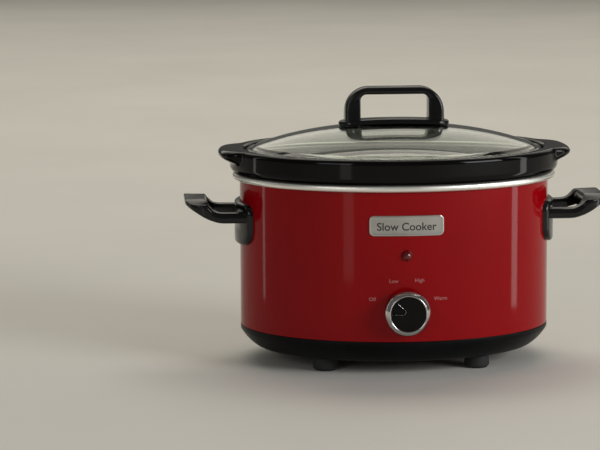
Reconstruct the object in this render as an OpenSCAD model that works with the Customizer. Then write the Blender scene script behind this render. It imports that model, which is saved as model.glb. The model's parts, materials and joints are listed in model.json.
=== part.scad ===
// Oval slow cooker: a steel-wrapped heating base on four feet, a lift-out stoneware crock,
// a glass lid with a loop handle, and a rotary heat control on the front.
//
// Frame: millimetres, +Z up, front towards -Y, origin on the table under the middle.
// Every oval in the cooker has the same shape: a circle of half-width `a` squashed front to
// back by oval_ratio. Profiles are drawn as [half-width, height] and turned about +Z.

/* [Body] */
// Half of the body's width, side to side
body_a = 136; // [132:1:140]
// Depth of every oval over its width
oval_ratio = 0.765; // [0.76:0.005:0.78]
// Height of the wrap's lower edge
wrap_bottom = 31.5; // [30:0.5:32]
// Height of the wrap's upper edge, under the rolled rim
wrap_top = 164.4; // [163.9:0.1:164.4]
// Thickness of the steel wrap
wrap_t = 0.8; // [0.6:0.1:0.8]

/* [Base] */
// Height of a foot, table to tray
foot_h = 12.5; // [12:0.5:13]
// Radius of a foot
foot_r = 11; // [10:0.5:12]
// Half of the distance between left and right feet
foot_x = 66; // [60:1:68]
// Half of the distance between front and rear feet
foot_y = 60; // [54:1:61]

/* [Crock and lid] */
// Half-width of the crock's rim, without the ears
rim_a = 144.5; // [143.5:0.5:145]
// Height of the crock's rim
rim_top = 187.3; // [186:0.1:188]
// Half-width over the crock's two ears
ear_tip = 155; // [153:0.2:158]
// Width of an ear, front to back
ear_w = 72; // [66:1:76]
// Rise of the glass dome above its edge
dome_rise = 20.9; // [19:0.1:24]
// Height of the top of the lid's handle
handle_top = 239.8; // [236:0.2:244]

/* [Side handles] */
// Half-width over the two side handles
grip_tip = 184.8; // [180:0.2:188]
// Half-width of a handle, front to back
grip_half = 37.5; // [36:0.5:38]

/* [Control] */
// Height of the control knob's axis
knob_z = 57.8; // [56:0.2:59]
// Radius of the knob's ring
knob_r = 19.4; // [18:0.2:20]
// Reach of the knob in front of the wrap
knob_reach = 15.2; // [14.6:0.2:16]
// Height of the lamp
lamp_z = 105.8; // [105:0.2:108]
// Height of the middle of the badge plate
badge_z = 132; // [130:0.5:134]

/* [Hidden] */

steel = "silver";
black_plastic = [0.08, 0.08, 0.08];
black_glaze = [0.05, 0.05, 0.06];
wrap_red = [0.55, 0.04, 0.06];
brass = [0.80, 0.65, 0.30];

front_y = body_a * oval_ratio;        // the wrap's foremost point is at y = -front_y
wrap_in = body_a - wrap_t;
cut = 1;                              // how far a cutter runs past what it cuts

tray_floor = foot_h + 2.5;
tray_lip_z = 27;                      // where the tray's upright lip ends and its slope starts
tray_floor_a = 123;
boss_h = 9;

pot_top_a = 127;                      // the pot's inside, at its mouth
pot_t = 0.8;
pot_corner_r = 29.2;                  // inside radius of its round bottom corner
pot_corner_a = 89;
pot_corner_z = 77.2;
pot_floor = pot_corner_z - pot_corner_r;
bead_r = 2.9;
bead_a = 139.3;
bead_z = 163.1;
flange_top = bead_z + bead_r;
wall_lean = 5;                        // degrees off upright where the corner meets the wall
wall_foot = [pot_corner_a + (pot_corner_r + pot_t) * cos(wall_lean),
             pot_corner_z - (pot_corner_r + pot_t) * sin(wall_lean)];
wall_head = [pot_top_a + pot_t, flange_top - pot_t - 1.6];

band_bottom = 79;
band_top = 100;
band_t = 1.8;
band_gap_x = 24;                      // half of the gap between the band's ends, at the rear

stud_r = 3;
rest_gap = 0.3;                       // between parts that lift apart
seat = flange_top + rest_gap;         // the underside of the crock's rim
ledge = rim_top - 5;                  // the step in the rim that carries the lid
lid_a = 130;
glass_t = 4;
lid_edge = ledge + rest_gap;
dome_foot = lid_edge + glass_t - 0.8;

lid_leg_x = 38;                       // where the lid's handle is screwed down
plate_top = 211.8;                    // top of the handle's arched plate, at its middle
plate_t = 4.25;
plate_bend = 593;                     // radius of its arch, which follows the dome
washer_t = 0.55;
washer_gap = 0.05;                    // the ring hangs this far under the plate

arm_bottom = 125.4;
arm_top = 134.3;
pad_bottom = 104.8;
pad_top = 141;
pad_half = 38.8;
pad_gap = 0.2;
pad_t = 4.8;
grip_screw_y = 30.5;
grip_screw_z = 129.9;
grip_screw_r = 1.9;

shaft_r = 3;
shaft_bore = 3.08;
gland_z = 52;

block_x = -42;
block_y = 42;
way_pitch = 10;
wire_r = 1.1;
cutoff_x = 48;
cutoff_y = 12;
cutoff_z = pot_floor - pot_t - 2.9;
earth_x = 30;
earth_y = 44;

// ---- shared shapes -------------------------------------------------------------------

// Depth of an oval of half-width a at a distance x from the middle, and the other way about.
function oval_y(a, x) = a * oval_ratio * sqrt(1 - pow(x / a, 2));
function oval_x(a, y) = a * sqrt(1 - pow(y / (a * oval_ratio), 2));
// Direction that points straight out of an oval of half-width a, at the point (x, y).
function out_angle(a, x, y) = atan2(y / pow(a * oval_ratio, 2), x / pow(a, 2));

function arc(x, y, r, from, to, n) =
    [for (i = [0:n]) let (t = from + (to - from) * i / n) [x + r * cos(t), y + r * sin(t)]];
function mix(p, q, t) = p + (q - p) * t;

// Outer half-width of the pot's wall, and height of the glass dome at a half-width.
function pot_a(z) =
    mix(wall_foot[0], wall_head[0], (z - wall_foot[1]) / (wall_head[1] - wall_foot[1]));
function dome_z(a) =
    dome_foot + dome_rise * pow(max(0, 1 - pow(a / lid_a, 2.4)), 0.95);

// A solid turned from a profile and squashed into the cooker's oval.
module oval_turned(profile) {
    scale([1, oval_ratio, 1])
        rotate_extrude($fn = 120)
            polygon(profile);
}

// The same for a thin shell, as flat panels; a range under a full turn leaves a gap.
module oval_shell(profile, panels = 64, from = 0, to = 360) {
    m = len(profile);
    full = to - from == 360;
    rings = full ? panels : panels + 1;
    points = [
        for (i = [0:rings - 1]) let (t = from + (to - from) * i / panels)
            for (p = profile) [p[0] * cos(t), p[0] * oval_ratio * sin(t), p[1]]
    ];
    sides = [
        for (i = [0:panels - 1]) let (k = (i + 1) % rings)
            for (j = [0:m - 1]) let (l = (j + 1) % m)
                [i * m + j, i * m + l, k * m + l, k * m + j]
    ];
    ends = full ? [] : [
        [for (j = [m - 1:-1:0]) j],
        [for (j = [0:m - 1]) (rings - 1) * m + j]
    ];
    polyhedron(points, concat(sides, ends), convexity = 8);
}

function unit(v) = v / norm(v);
function heading(p, i) = unit(p[min(i + 1, len(p) - 1)] - p[max(i - 1, 0)]);
function side_vectors(p, i = 0, v = unit([0.37, 0.61, 0.7])) =
    i == len(p) ? [] :
    let (t = heading(p, i), u = unit(v - (v * t) * t))
    concat([u], side_vectors(p, i + 1, u));

// A round rod bent along a list of points.
module rod(route, r, sides = 6) {
    u = side_vectors(route);
    last = len(route) - 1;
    points = [
        for (i = [0:last]) let (v = cross(heading(route, i), u[i]))
            for (j = [0:sides - 1]) let (t = 360 * j / sides)
                route[i] + r * (cos(t) * u[i] + sin(t) * v)
    ];
    skin = [
        for (i = [0:last - 1]) for (j = [0:sides - 1]) let (l = (j + 1) % sides)
            [i * sides + j, (i + 1) * sides + j, (i + 1) * sides + l, i * sides + l]
    ];
    ends = [
        [for (j = [0:sides - 1]) j],
        [for (j = [sides - 1:-1:0]) last * sides + j]
    ];
    polyhedron(points, concat(skin, ends), convexity = 8);
}

// A smooth route through a few chosen points.
function between(a, b, c, d, t) =
    0.5 * (2 * b + (c - a) * t + (2 * a - 5 * b + 4 * c - d) * t * t
        + (3 * b - a - 3 * c + d) * t * t * t);
function smooth(p, steps = 4) = concat(
    [for (i = [0:len(p) - 2]) for (s = [0:steps - 1])
        between(p[max(i - 1, 0)], p[i], p[i + 1], p[min(i + 2, len(p) - 1)], s / steps)],
    [p[len(p) - 1]]
);

// Puts its children on the front of the wrap: their +Z points out at the user.
module on_front(x, z) {
    translate([x, -front_y, z]) rotate([90, 0, 0]) children();
}

// Puts its children on an oval of half-width a at depth y, on the side s = 1 or -1,
// with their +X pointing straight out.
module on_side(a, y, z, s = 1) {
    x = oval_x(a, y);
    translate([s * x, y, z]) rotate([0, 0, out_angle(a, s * x, y)]) children();
}

module hex_nut(across, bore, h) {
    difference() {
        cylinder(d = across / cos(30), h = h, $fn = 6);
        translate([0, 0, -cut]) cylinder(r = bore, h = h + 2 * cut, $fn = 48);
    }
}

module washer(r, bore, h) {
    difference() {
        cylinder(r = r, h = h, $fn = 64);
        translate([0, 0, -cut]) cylinder(r = bore, h = h + 2 * cut, $fn = 64);
    }
}

// A pan-head screw that points up, its head's underside at z = 0, with a cross recess.
module screw(head_r, head_h, r, length) {
    difference() {
        union() {
            translate([0, 0, -head_h]) cylinder(r = head_r, h = head_h, $fn = 48);
            cylinder(r = r, h = length, $fn = 32);
        }
        for (t = [0, 90])
            rotate([0, 0, t])
                translate([0, 0, -head_h])
                    cube([head_r * 1.2, head_r * 0.28, head_h * 1.1], center = true);
    }
}

// ---- base -----------------------------------------------------------------------------

// The slope of the tray swells a little between its two edges.
tray_slope = [
    for (i = [0:5]) let (t = i / 5)
        mix([body_a, tray_lip_z], [tray_floor_a, foot_h + 1], t)
            + 4 * t * (1 - t) * 1.1 * [0.72, -0.69]
];
tray_profile = concat(
    [[body_a, wrap_bottom - 0.2]], tray_slope, [[tray_floor_a - 2, foot_h], [0, foot_h]],
    [[0, tray_floor], [tray_floor_a - 4, tray_floor], [body_a - 5.2, tray_lip_z]],
    [[body_a - 5.2, wrap_bottom + 7], [wrap_in - 0.4, wrap_bottom + 7],
     [wrap_in - 0.4, wrap_bottom - 0.2]]
);

module base_tray() {
    color(black_plastic)
    difference() {
        union() {
            oval_turned(tray_profile);
            for (x = [-foot_x, foot_x]) for (y = [-foot_y, foot_y])
                translate([x, y, tray_floor]) cylinder(r = 5, h = boss_h, $fn = 48);
        }
        for (x = [-foot_x, foot_x]) for (y = [-foot_y, foot_y])
            translate([x, y, foot_h - cut])
                cylinder(r = 1.75, h = boss_h + 2.5 + 2 * cut, $fn = 32);
        translate([0, 0, foot_h - cut]) cylinder(r = stud_r + 0.4, h = 5, $fn = 48);
        translate([block_x, block_y, foot_h - cut]) cylinder(r = 1.6, h = 5, $fn = 32);
    }
}

module outer_wrap() {
    half = 48;
    function ring(a) =
        [for (i = [0:2 * half - 1]) let (t = 180 * (i + 0.5) / half)
            [a * cos(t), a * oval_ratio * sin(t)]];
    color(wrap_red)
    difference() {
        translate([0, 0, wrap_bottom])
            linear_extrude(height = wrap_top - wrap_bottom, convexity = 4)
                difference() {
                    polygon(ring(body_a));
                    polygon(ring(wrap_in));
                }
        on_front(0, knob_z) cylinder(r = 5.1, h = 12, center = true, $fn = 48);
        on_front(0, lamp_z) cylinder(r = 4.1, h = 12, center = true, $fn = 48);
        for (x = [-24, 24])
            on_front(x, badge_z) cylinder(r = 1.3, h = 12, center = true, $fn = 32);
        for (s = [-1, 1]) for (y = [-grip_screw_y, grip_screw_y])
            on_side(wrap_in, y, grip_screw_z, s)
                rotate([0, 90, 0]) cylinder(r = 2.2, h = 12, center = true, $fn = 32);
        translate([0, front_y, gland_z])
            rotate([90, 0, 0]) cylinder(r = 6.1, h = 12, center = true, $fn = 48);
    }
}

// An open pan with a rolled rim; its corner is an arc of the same centre inside and out.
pot_profile = concat(
    [[0, pot_floor - pot_t]],
    arc(pot_corner_a, pot_corner_z, pot_corner_r + pot_t, -90, -wall_lean, 5),
    [wall_head, wall_head + [1.4, 1.6]],
    [[bead_a - 2.4, flange_top - pot_t]],
    arc(bead_a, bead_z, bead_r, -200, 90, 9),
    [[pot_top_a + 0.6, flange_top], [pot_top_a, flange_top - 1.2]],
    arc(pot_corner_a, pot_corner_z, pot_corner_r, -wall_lean, -90, 5),
    [[0, pot_floor]]
);

module heating_pot() {
    color(steel) oval_cap_shell(pot_profile);
}

// A thin shell whose profile starts and ends on the axis.
module oval_cap_shell(profile, panels = 64) {
    m = len(profile) - 2;
    rim = [for (j = [1:m]) profile[j]];
    points = concat(
        [for (i = [0:panels - 1]) let (t = 360 * i / panels)
            for (p = rim) [p[0] * cos(t), p[0] * oval_ratio * sin(t), p[1]]],
        [[0, 0, profile[0][1]], [0, 0, profile[m + 1][1]]]
    );
    under = panels * m;
    faces = [
        for (i = [0:panels - 1]) let (k = (i + 1) % panels)
            each concat(
                [for (j = [0:m - 2]) [i * m + j, i * m + j + 1, k * m + j + 1, k * m + j]],
                [[under, i * m, k * m], [under + 1, k * m + m - 1, i * m + m - 1]]
            )
    ];
    polyhedron(points, faces, convexity = 8);
}

// A flat heating element bent round the pot, open at the rear.
module heater_band() {
    gap = atan2(band_gap_x, pot_a(band_bottom));
    inner = 0.15;
    color("dimgray")
        oval_shell(
            [[pot_a(band_bottom) + inner, band_bottom],
             [pot_a(band_bottom) + inner + band_t, band_bottom],
             [pot_a(band_top) + inner + band_t, band_top],
             [pot_a(band_top) + inner, band_top]],
            60, 90 + gap, 450 - gap);
}

// Two tension springs pull the band's ends together across the gap.
module heater_springs() {
    turns = 9;
    steps = 8;
    coil_r = 1.2;
    reach = band_gap_x - 2.6;
    y = pot_a(band_top) * oval_ratio + 2.2;
    color(steel)
        for (z = [band_bottom + 5, band_top - 5])
            rod(
                [for (i = [0:turns * steps]) let (t = 360 * i / steps)
                    [mix(-reach, reach, i / (turns * steps)), y + coil_r * cos(t),
                     z + coil_r * sin(t)]],
                0.35, 5);
}

// Flat tabs on the band's ends that carry its two supply wires.
module heater_terminals() {
    a = pot_a(band_top) + band_t + 0.5;
    color(brass)
        for (s = [-1, 1])
            on_side(a, oval_y(a, 36), 0, s)
                union() {
                    translate([0, -3.5, band_bottom - 14]) cube([0.8, 7, 34]);
                    translate([0.8, 0, band_bottom + 10])
                        rotate([0, 90, 0]) cylinder(r = 2, h = 1.2, $fn = 32);
                }
}

// The pot is pulled down on to the tray by one stud through the middle.
module pot_stud() {
    flange = pot_floor - pot_t;
    color(steel)
        union() {
            translate([0, 0, flange - 1.6]) cylinder(r = 9, h = 1.6, $fn = 64);
            translate([0, 0, 5]) cylinder(r = stud_r, h = flange - 5.8, $fn = 48);
        }
}

module stud_spacer() {
    color(steel)
        translate([0, 0, tray_floor])
            washer(6, stud_r + 0.2, pot_floor - pot_t - 1.6 - tray_floor);
}

module stud_washer() {
    color(steel) translate([0, 0, foot_h - 1.2]) washer(8, stud_r + 0.2, 1.2);
}

module stud_nut() {
    color(steel) translate([0, 0, foot_h - 6.2]) hex_nut(10, stud_r + 0.05, 5);
}

// Rubber foot with a pocket for its screw.
module foot(x, y) {
    color([0.12, 0.12, 0.12])
        translate([x, y, 0])
            rotate_extrude($fn = 64)
                polygon([[2.2, foot_h], [foot_r, foot_h], [foot_r, 2.4], [foot_r - 0.7, 0.7],
                         [foot_r - 2.4, 0], [5, 0], [5, 6], [2.2, 6]]);
}

module foot_screws() {
    color(steel)
        for (x = [-foot_x, foot_x]) for (y = [-foot_y, foot_y])
            translate([x, y, 6]) screw(4, 2.6, 1.7, 15);
}

// ---- side handles ---------------------------------------------------------------------

// Plan of a handle: a loop that is open in the middle and ends against the wrap.
module grip_plan() {
    corner = 17;
    hole_corner = 9;
    hole_y = grip_half - 12.5;
    hole_x = grip_tip - 19.5;
    difference() {
        polygon(concat(
            [[body_a - 20, -grip_half]],
            arc(grip_tip - corner, corner - grip_half, corner, -90, 0, 8),
            arc(grip_tip - corner, grip_half - corner, corner, 0, 90, 8),
            [[body_a - 20, grip_half]]
        ));
        polygon(concat(
            [[body_a - 6, -hole_y]],
            arc(hole_x - hole_corner, hole_corner - hole_y, hole_corner, -90, 0, 5),
            arc(hole_x - hole_corner, hole_y - hole_corner, hole_corner, 0, 90, 5),
            [[body_a - 6, hole_y]]
        ));
    }
}

// Side view of the loop: level arms that sweep up to a raised grip.
module grip_side() {
    tip = grip_tip;
    polygon([
        [body_a - 20, arm_bottom], [tip - 32, arm_bottom], [tip - 25.3, arm_bottom + 1.4],
        [tip - 20.8, arm_bottom + 3.1], [tip - 16.6, arm_bottom + 5.2],
        [tip - 12.3, arm_bottom + 7.7], [tip - 8, arm_bottom + 10.4],
        [tip - 3.8, arm_bottom + 12.8], [tip - 1.2, arm_bottom + 14.4], [tip, arm_bottom + 16],
        [tip, arm_top + 9], [tip - 1.4, arm_top + 10.5], [tip - 17.6, arm_top + 10.3],
        [tip - 19.5, arm_top + 8.6], [tip - 21.4, arm_top + 5.6], [tip - 23.6, arm_top + 3],
        [tip - 26.6, arm_top + 1], [tip - 30.6, arm_top], [body_a - 20, arm_top]
    ]);
}

// The pad under the arms follows the wrap.
module grip_pad() {
    lower = 14;
    upper = 9;
    out = body_a + pad_gap + pad_t;
    intersection() {
        rotate([90, 0, 90])
            linear_extrude(height = out + cut)
                polygon(concat(
                    arc(pad_half - lower, pad_bottom + lower, lower, -90, 0, 5),
                    arc(pad_half - upper, pad_top - upper, upper, 0, 90, 4),
                    arc(upper - pad_half, pad_top - upper, upper, 90, 180, 4),
                    arc(lower - pad_half, pad_bottom + lower, lower, 180, 270, 5)
                ));
        linear_extrude(height = pad_top + cut)
            polygon(concat(
                [[body_a - 40, -pad_half]],
                [for (i = [-12:12]) let (y = pad_half * i / 12) [oval_x(out, y), y]],
                [[body_a - 40, pad_half]]
            ));
    }
}

// What the wrap takes up, with a little room.
module wrap_space() {
    a = body_a + pad_gap;
    linear_extrude(height = 200)
        polygon(concat(
            [[body_a - 60, -50]],
            [for (i = [-20:20]) let (y = 2.5 * i) [oval_x(a, y), y]],
            [[body_a - 60, 50]]
        ));
}

module side_handle(s) {
    color(black_plastic)
    mirror([s < 0 ? 1 : 0, 0, 0])
    difference() {
        union() {
            intersection() {
                linear_extrude(height = 200) grip_plan();
                translate([0, grip_half + cut, 0])
                    rotate([90, 0, 0])
                        linear_extrude(height = 2 * (grip_half + cut)) grip_side();
            }
            grip_pad();
        }
        wrap_space();
        for (y = [-grip_screw_y, grip_screw_y])
            on_side(wrap_in, y, grip_screw_z)
                rotate([0, 90, 0]) cylinder(r = grip_screw_r + 0.05, h = 14, $fn = 32);
    }
}

module handle_screws() {
    color(steel)
        for (s = [-1, 1]) for (y = [-grip_screw_y, grip_screw_y])
            on_side(wrap_in, y, grip_screw_z, s)
                translate([-0.15, 0, 0]) rotate([0, 90, 0]) screw(3.6, 2, grip_screw_r, 13);
}

// ---- front ----------------------------------------------------------------------------

// A plain plate bent to the wrap, with two pins through it.
module badge_plate() {
    half_w = 32.5;
    half_h = 9.5;
    corner = 3;
    back = body_a + 0.1;
    face = body_a + 1.3;
    color(steel)
    union() {
        intersection() {
            linear_extrude(height = 200)
                polygon(concat(
                    [for (i = [-14:14]) let (x = 2.4 * i) [x, -oval_y(face, x)]],
                    [for (i = [14:-1:-14]) let (x = 2.4 * i) [x, -oval_y(back, x)]]
                ));
            on_front(0, badge_z)
                linear_extrude(height = 20, center = true)
                    polygon(concat(
                        arc(half_w - corner, half_h - corner, corner, 0, 90, 4),
                        arc(corner - half_w, half_h - corner, corner, 90, 180, 4),
                        arc(corner - half_w, corner - half_h, corner, 180, 270, 4),
                        arc(half_w - corner, corner - half_h, corner, 270, 360, 4)
                    ));
        }
        for (x = [-24, 24])
            on_front(x, badge_z)
                translate([0, 0, -6]) cylinder(r = 1.1, h = 5, $fn = 32);
    }
}

module badge_clips() {
    color(steel)
        for (x = [-24, 24])
            on_front(x, badge_z)
                translate([0, 0, -3.6]) washer(3.6, 1.15, 0.5);
}

// Jewel lens with a hollow neck for the neon.
module lamp_lens() {
    color([0.6, 0.02, 0.02])
        on_front(0, lamp_z)
            rotate_extrude($fn = 64)
                polygon([[0, 3.4], [2.2, 3.1], [3.9, 2.1], [4.8, 0.9], [4.8, 0.1], [3.9, 0.1],
                         [3.9, -5.6], [2.7, -5.6], [2.7, 0.6], [0, 0.6]]);
}

module lamp_clip() {
    color(steel)
        on_front(0, lamp_z) translate([0, 0, -1.6]) washer(6.4, 3.95, 0.6);
}

module neon_lamp() {
    color([0.9, 0.6, 0.4])
        on_front(0, lamp_z)
            rotate_extrude($fn = 48)
                polygon([[0, 0], [1.4, -0.3], [2.2, -1.2], [2.2, -8.4], [0, -8.4]]);
}

module lamp_resistor() {
    color("tan")
        on_front(9, lamp_z)
            translate([0, 0, -6.5]) rotate([0, 90, 0]) cylinder(r = 1.2, h = 6.5, $fn = 32);
}

// Rotary switch: a box behind the wrap, held by a nut on its bush.
switch_w = 28;
switch_h = 26;
switch_face = -1.25;
switch_split = -10.25;
switch_rear = -12.25;

module switch_housing() {
    color("ivory")
        on_front(0, knob_z)
            difference() {
                union() {
                    translate([-switch_w / 2, -switch_h / 2, switch_split])
                        cube([switch_w, switch_h, switch_face - switch_split]);
                    translate([0, 0, switch_face]) cylinder(r = 4.9, h = 4.6, $fn = 64);
                }
                translate([0, 0, switch_split - cut])
                    cylinder(r = 11, h = 7.5 + cut, $fn = 64);
                translate([0, 0, switch_split])
                    cylinder(r = shaft_bore, h = 16, $fn = 64);
            }
}

module switch_back() {
    color("ivory")
        on_front(0, knob_z)
            difference() {
                translate([-switch_w / 2, -switch_h / 2, switch_rear])
                    cube([switch_w, switch_h, switch_split - switch_rear]);
                translate([0, 0, switch_rear + 0.8])
                    cylinder(r = shaft_bore, h = 4, $fn = 64);
            }
}

module switch_terminals() {
    color(brass)
        on_front(0, knob_z)
            for (i = [-1.5:1.5])
                difference() {
                    translate([7 * i - 2.2, -switch_h / 2 - 9, switch_rear + 0.6])
                        cube([4.4, 9, 0.8]);
                    translate([7 * i, -switch_h / 2 - 6, switch_rear])
                        cylinder(r = 0.8, h = 3, $fn = 24);
                }
}

module switch_nut() {
    color(steel) on_front(0, knob_z) translate([0, 0, 0.05]) hex_nut(13, 4.95, 2.4);
}

// ---- wiring ---------------------------------------------------------------------------

module thermal_cutoff() {
    color(steel)
        translate([cutoff_x, cutoff_y, cutoff_z])
            rotate([0, 90, 0]) cylinder(r = 2, h = 11, center = true, $fn = 48);
}

module cutoff_sleeve() {
    color("white")
        translate([cutoff_x, cutoff_y, cutoff_z])
            rotate([0, 90, 0]) translate([0, 0, -10]) washer(2.7, 2.1, 20);
}

// An omega strap that holds the sleeve against the pot's floor.
module cutoff_clip() {
    drop = pot_floor - pot_t - cutoff_z;
    color(steel)
        translate([cutoff_x - 4, cutoff_y, cutoff_z])
            rotate([90, 0, 90])
                linear_extrude(height = 8)
                    difference() {
                        union() {
                            circle(r = 3.4, $fn = 48);
                            translate([-3.4, 0]) square([6.8, drop]);
                            translate([-9, drop - 0.6]) square([18, 0.6]);
                        }
                        circle(r = 2.8, $fn = 48);
                        translate([-2.8, 0]) square([5.6, drop + cut]);
                    }
}

module terminal_block() {
    size = [3 * way_pitch + 4, 16, 12];
    color("ivory")
        translate([block_x, block_y, tray_floor])
            difference() {
                translate([-size[0] / 2, -size[1] / 2, 0]) cube(size);
                for (i = [-1:1])
                    translate([i * way_pitch, 0, 6])
                        rotate([90, 0, 0])
                            cylinder(r = 1.8, h = size[1] + 2 * cut, center = true, $fn = 32);
                for (i = [-1:1]) for (y = [-5, 5])
                    translate([i * way_pitch, y, 6]) cylinder(r = 1.6, h = 8, $fn = 32);
            }
}

module terminal_screws() {
    color(brass)
        translate([block_x, block_y, tray_floor])
            for (i = [-1:1]) for (y = [-5, 5])
                translate([i * way_pitch, y, 8])
                    difference() {
                        cylinder(r = 1.5, h = 3.4, $fn = 32);
                        translate([-2, -0.25, 2.8]) cube([4, 0.5, 2]);
                    }
}

module earth_stud() {
    color(steel)
        translate([earth_x, earth_y, pot_floor - pot_t - 9]) cylinder(r = 2, h = 9, $fn = 32);
}

// A ring tag on the stud, with a short tail for its wire.
module earth_tag() {
    color(brass)
        translate([earth_x, earth_y, pot_floor - pot_t - 3.2])
            difference() {
                union() {
                    cylinder(r = 4.2, h = 0.8, $fn = 48);
                    translate([-2, 0, 0]) cube([4, 11, 0.8]);
                }
                translate([0, 0, -cut]) cylinder(r = 2.2, h = 3, $fn = 32);
            }
}

module earth_nut() {
    color(steel)
        translate([earth_x, earth_y, pot_floor - pot_t - 6.4]) hex_nut(7, 2.05, 3.2);
}

// Strain relief for the supply cord: a flanged bush that narrows to the rear.
module cord_gland() {
    color(black_plastic)
        translate([0, front_y, gland_z])
            rotate([-90, 0, 0])
                rotate_extrude($fn = 64)
                    polygon([[3.6, -9], [5.9, -9], [5.9, 0.1], [8.5, 0.1], [8.5, 2.4],
                             [6.8, 3.2], [5.6, knob_reach], [3.6, knob_reach]]);
}

module gland_nut() {
    color(black_plastic)
        translate([0, front_y - 4.4, gland_z])
            rotate([-90, 0, 0]) hex_nut(15, 5.95, 3);
}

// Wire routes: each list is a few points from terminal to terminal.
way_z = tray_floor + 6;
block_rear = block_y + 8.4;
block_front = block_y - 8.4;
gland_end = front_y - 14;
switch_drop = knob_z - switch_h / 2 - 9.5;
switch_y = 11.25 - front_y;
cutoff_left = cutoff_x - 10.4;
cutoff_right = cutoff_x + 10.4;

function way_x(i) = block_x + i * way_pitch;

wire_live_route = [
    [-2, gland_end, gland_z], [-8, 81, 46], [-30, 73, 30], [-50, 64, 22],
    [way_x(-1), block_rear, way_z]
];
wire_neutral_route = [
    [0, gland_end, gland_z - 2], [-4, 80, 41], [-20, 70, 26], [way_x(0) + 4, 60, 21.5],
    [way_x(0), block_rear, way_z]
];
wire_earth_route = [
    [2, gland_end, gland_z], [8, 82, 47.5], [20, 72, 43.5],
    [earth_x, earth_y + 11.6, pot_floor - pot_t - 2.8]
];
wire_cutoff_in_route = [
    [way_x(-1), block_front, way_z], [-50, 24, 20], [-30, 12, 20], [-10, 22, 26],
    [14, 18, 34], [cutoff_left - 10, cutoff_y + 1, cutoff_z - 1],
    [cutoff_left, cutoff_y, cutoff_z]
];
wire_cutoff_out_route = [
    [cutoff_right, cutoff_y, cutoff_z], [70, 8, 40], [76, -14, 30], [60, -50, 26],
    [30, -78, 24], [10.5, switch_y, switch_drop - 4], [10.5, switch_y, switch_drop]
];
wire_heater_left_route = [
    [-10.5, switch_y, switch_drop], [-10.5, switch_y, switch_drop - 4], [-30, -76, 24],
    [-74, -40, 24], [-88, 0, 26],
    [-80, 50, 32], [-60, 76, 46], [-44, 86, 58], [-36.6, 93.4, 64.6]
];
wire_heater_right_route = [
    [way_x(0), block_front, way_z], [-34, 20, 30], [-12, 34, 30], [20, 60, 30],
    [44, 74, 38], [44, 84, 54], [36.6, 93.4, 64.6]
];
wire_lamp_route = [
    [3.5, switch_y, switch_drop], [3.5, switch_y, switch_drop - 3], [20, -84, 37],
    [24, -92, 56], [22, -97, 84], [12, -99, 101], [3.6, -96.3, 106]
];

module wire(route, tint) {
    color(tint) rod(smooth(route), wire_r);
}

// ---- crock and lid --------------------------------------------------------------------

crock_foot_z = 78;                    // where the bowl's round bottom corner starts
crock_corner_a = 89;
crock_profile = concat(
    [[0, crock_foot_z - 28]],
    arc(crock_corner_a, crock_foot_z, 28, -90, -5, 6),
    [[125, seat - 1.2], [126, seat], [rim_a - 6, seat]],
    arc(rim_a - 6, seat + 6, 6, -72, 0, 4),
    arc(rim_a - 3.5, rim_top - 3.5, 3.5, 0, 90, 5),
    [[134, rim_top]],
    arc(134, rim_top - 2, 2, 90, 180, 3),
    [[131.8, ledge], [121.5, ledge], [119.6, ledge - 2]],
    arc(crock_corner_a + 0.5, crock_foot_z, 21, -5, -90, 6),
    [[0, crock_foot_z - 21]]
);

// A flat lug to lift the hot crock by, deeper where it meets the rim.
module crock_ear() {
    corner = 16;
    bow = 1.6;                        // how far the tip's middle stands out
    root = rim_a - 12;
    top = rim_top - 0.6;
    half = ear_w / 2;
    intersection() {
        translate([0, half + cut, 0])
            rotate([90, 0, 0])
                linear_extrude(height = ear_w + 2 * cut)
                    polygon([
                        [root, top], [ear_tip - 3, top], [ear_tip - 0.9, top - 0.9],
                        [ear_tip, top - 3], [ear_tip - 0.2, top - 4.8], [ear_tip - 1.4, top - 6.6],
                        [ear_tip - 4.6, top - 8.8], [ear_tip - 9.8, top - 11],
                        [ear_tip - 14.5, top - 13.6], [root, top - 17]
                    ]);
        linear_extrude(height = rim_top + cut)
            polygon(concat(
                [[root, -half]],
                arc(ear_tip - bow - corner, corner - half, corner, -90, -6, 6),
                [[ear_tip - 0.4, -10], [ear_tip, 0], [ear_tip - 0.4, 10]],
                arc(ear_tip - bow - corner, half - corner, corner, 6, 90, 6),
                [[root, half]]
            ));
    }
}

module crock() {
    color(black_glaze)
    union() {
        oval_turned(crock_profile);
        crock_ear();
        mirror([1, 0, 0]) crock_ear();
    }
}

// Half-widths at which the dome's profile is drawn, closer together near the edge.
dome_steps = [20, 40, 56, 70, 82, 92, 101, 109, 116, 122];
glass_profile = concat(
    [[0, dome_z(0) - glass_t]],
    [for (a = dome_steps) [a, dome_z(a) - glass_t]],
    [[lid_a - 2, lid_edge]],
    arc(lid_a - glass_t / 2, lid_edge + glass_t / 2, glass_t / 2, -60, 60, 4),
    [[lid_a - 3, lid_edge + glass_t - 0.1]],
    [for (i = [len(dome_steps) - 1:-1:0]) [dome_steps[i], dome_z(dome_steps[i])]],
    [[0, dome_z(0)]]
);

module lid_glass() {
    color([0.75, 0.8, 0.78])
    difference() {
        oval_cap_shell(glass_profile);
        for (x = [-lid_leg_x, lid_leg_x])
            translate([x, 0, lid_edge]) cylinder(r = 2.4, h = 40, $fn = 48);
    }
}

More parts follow.
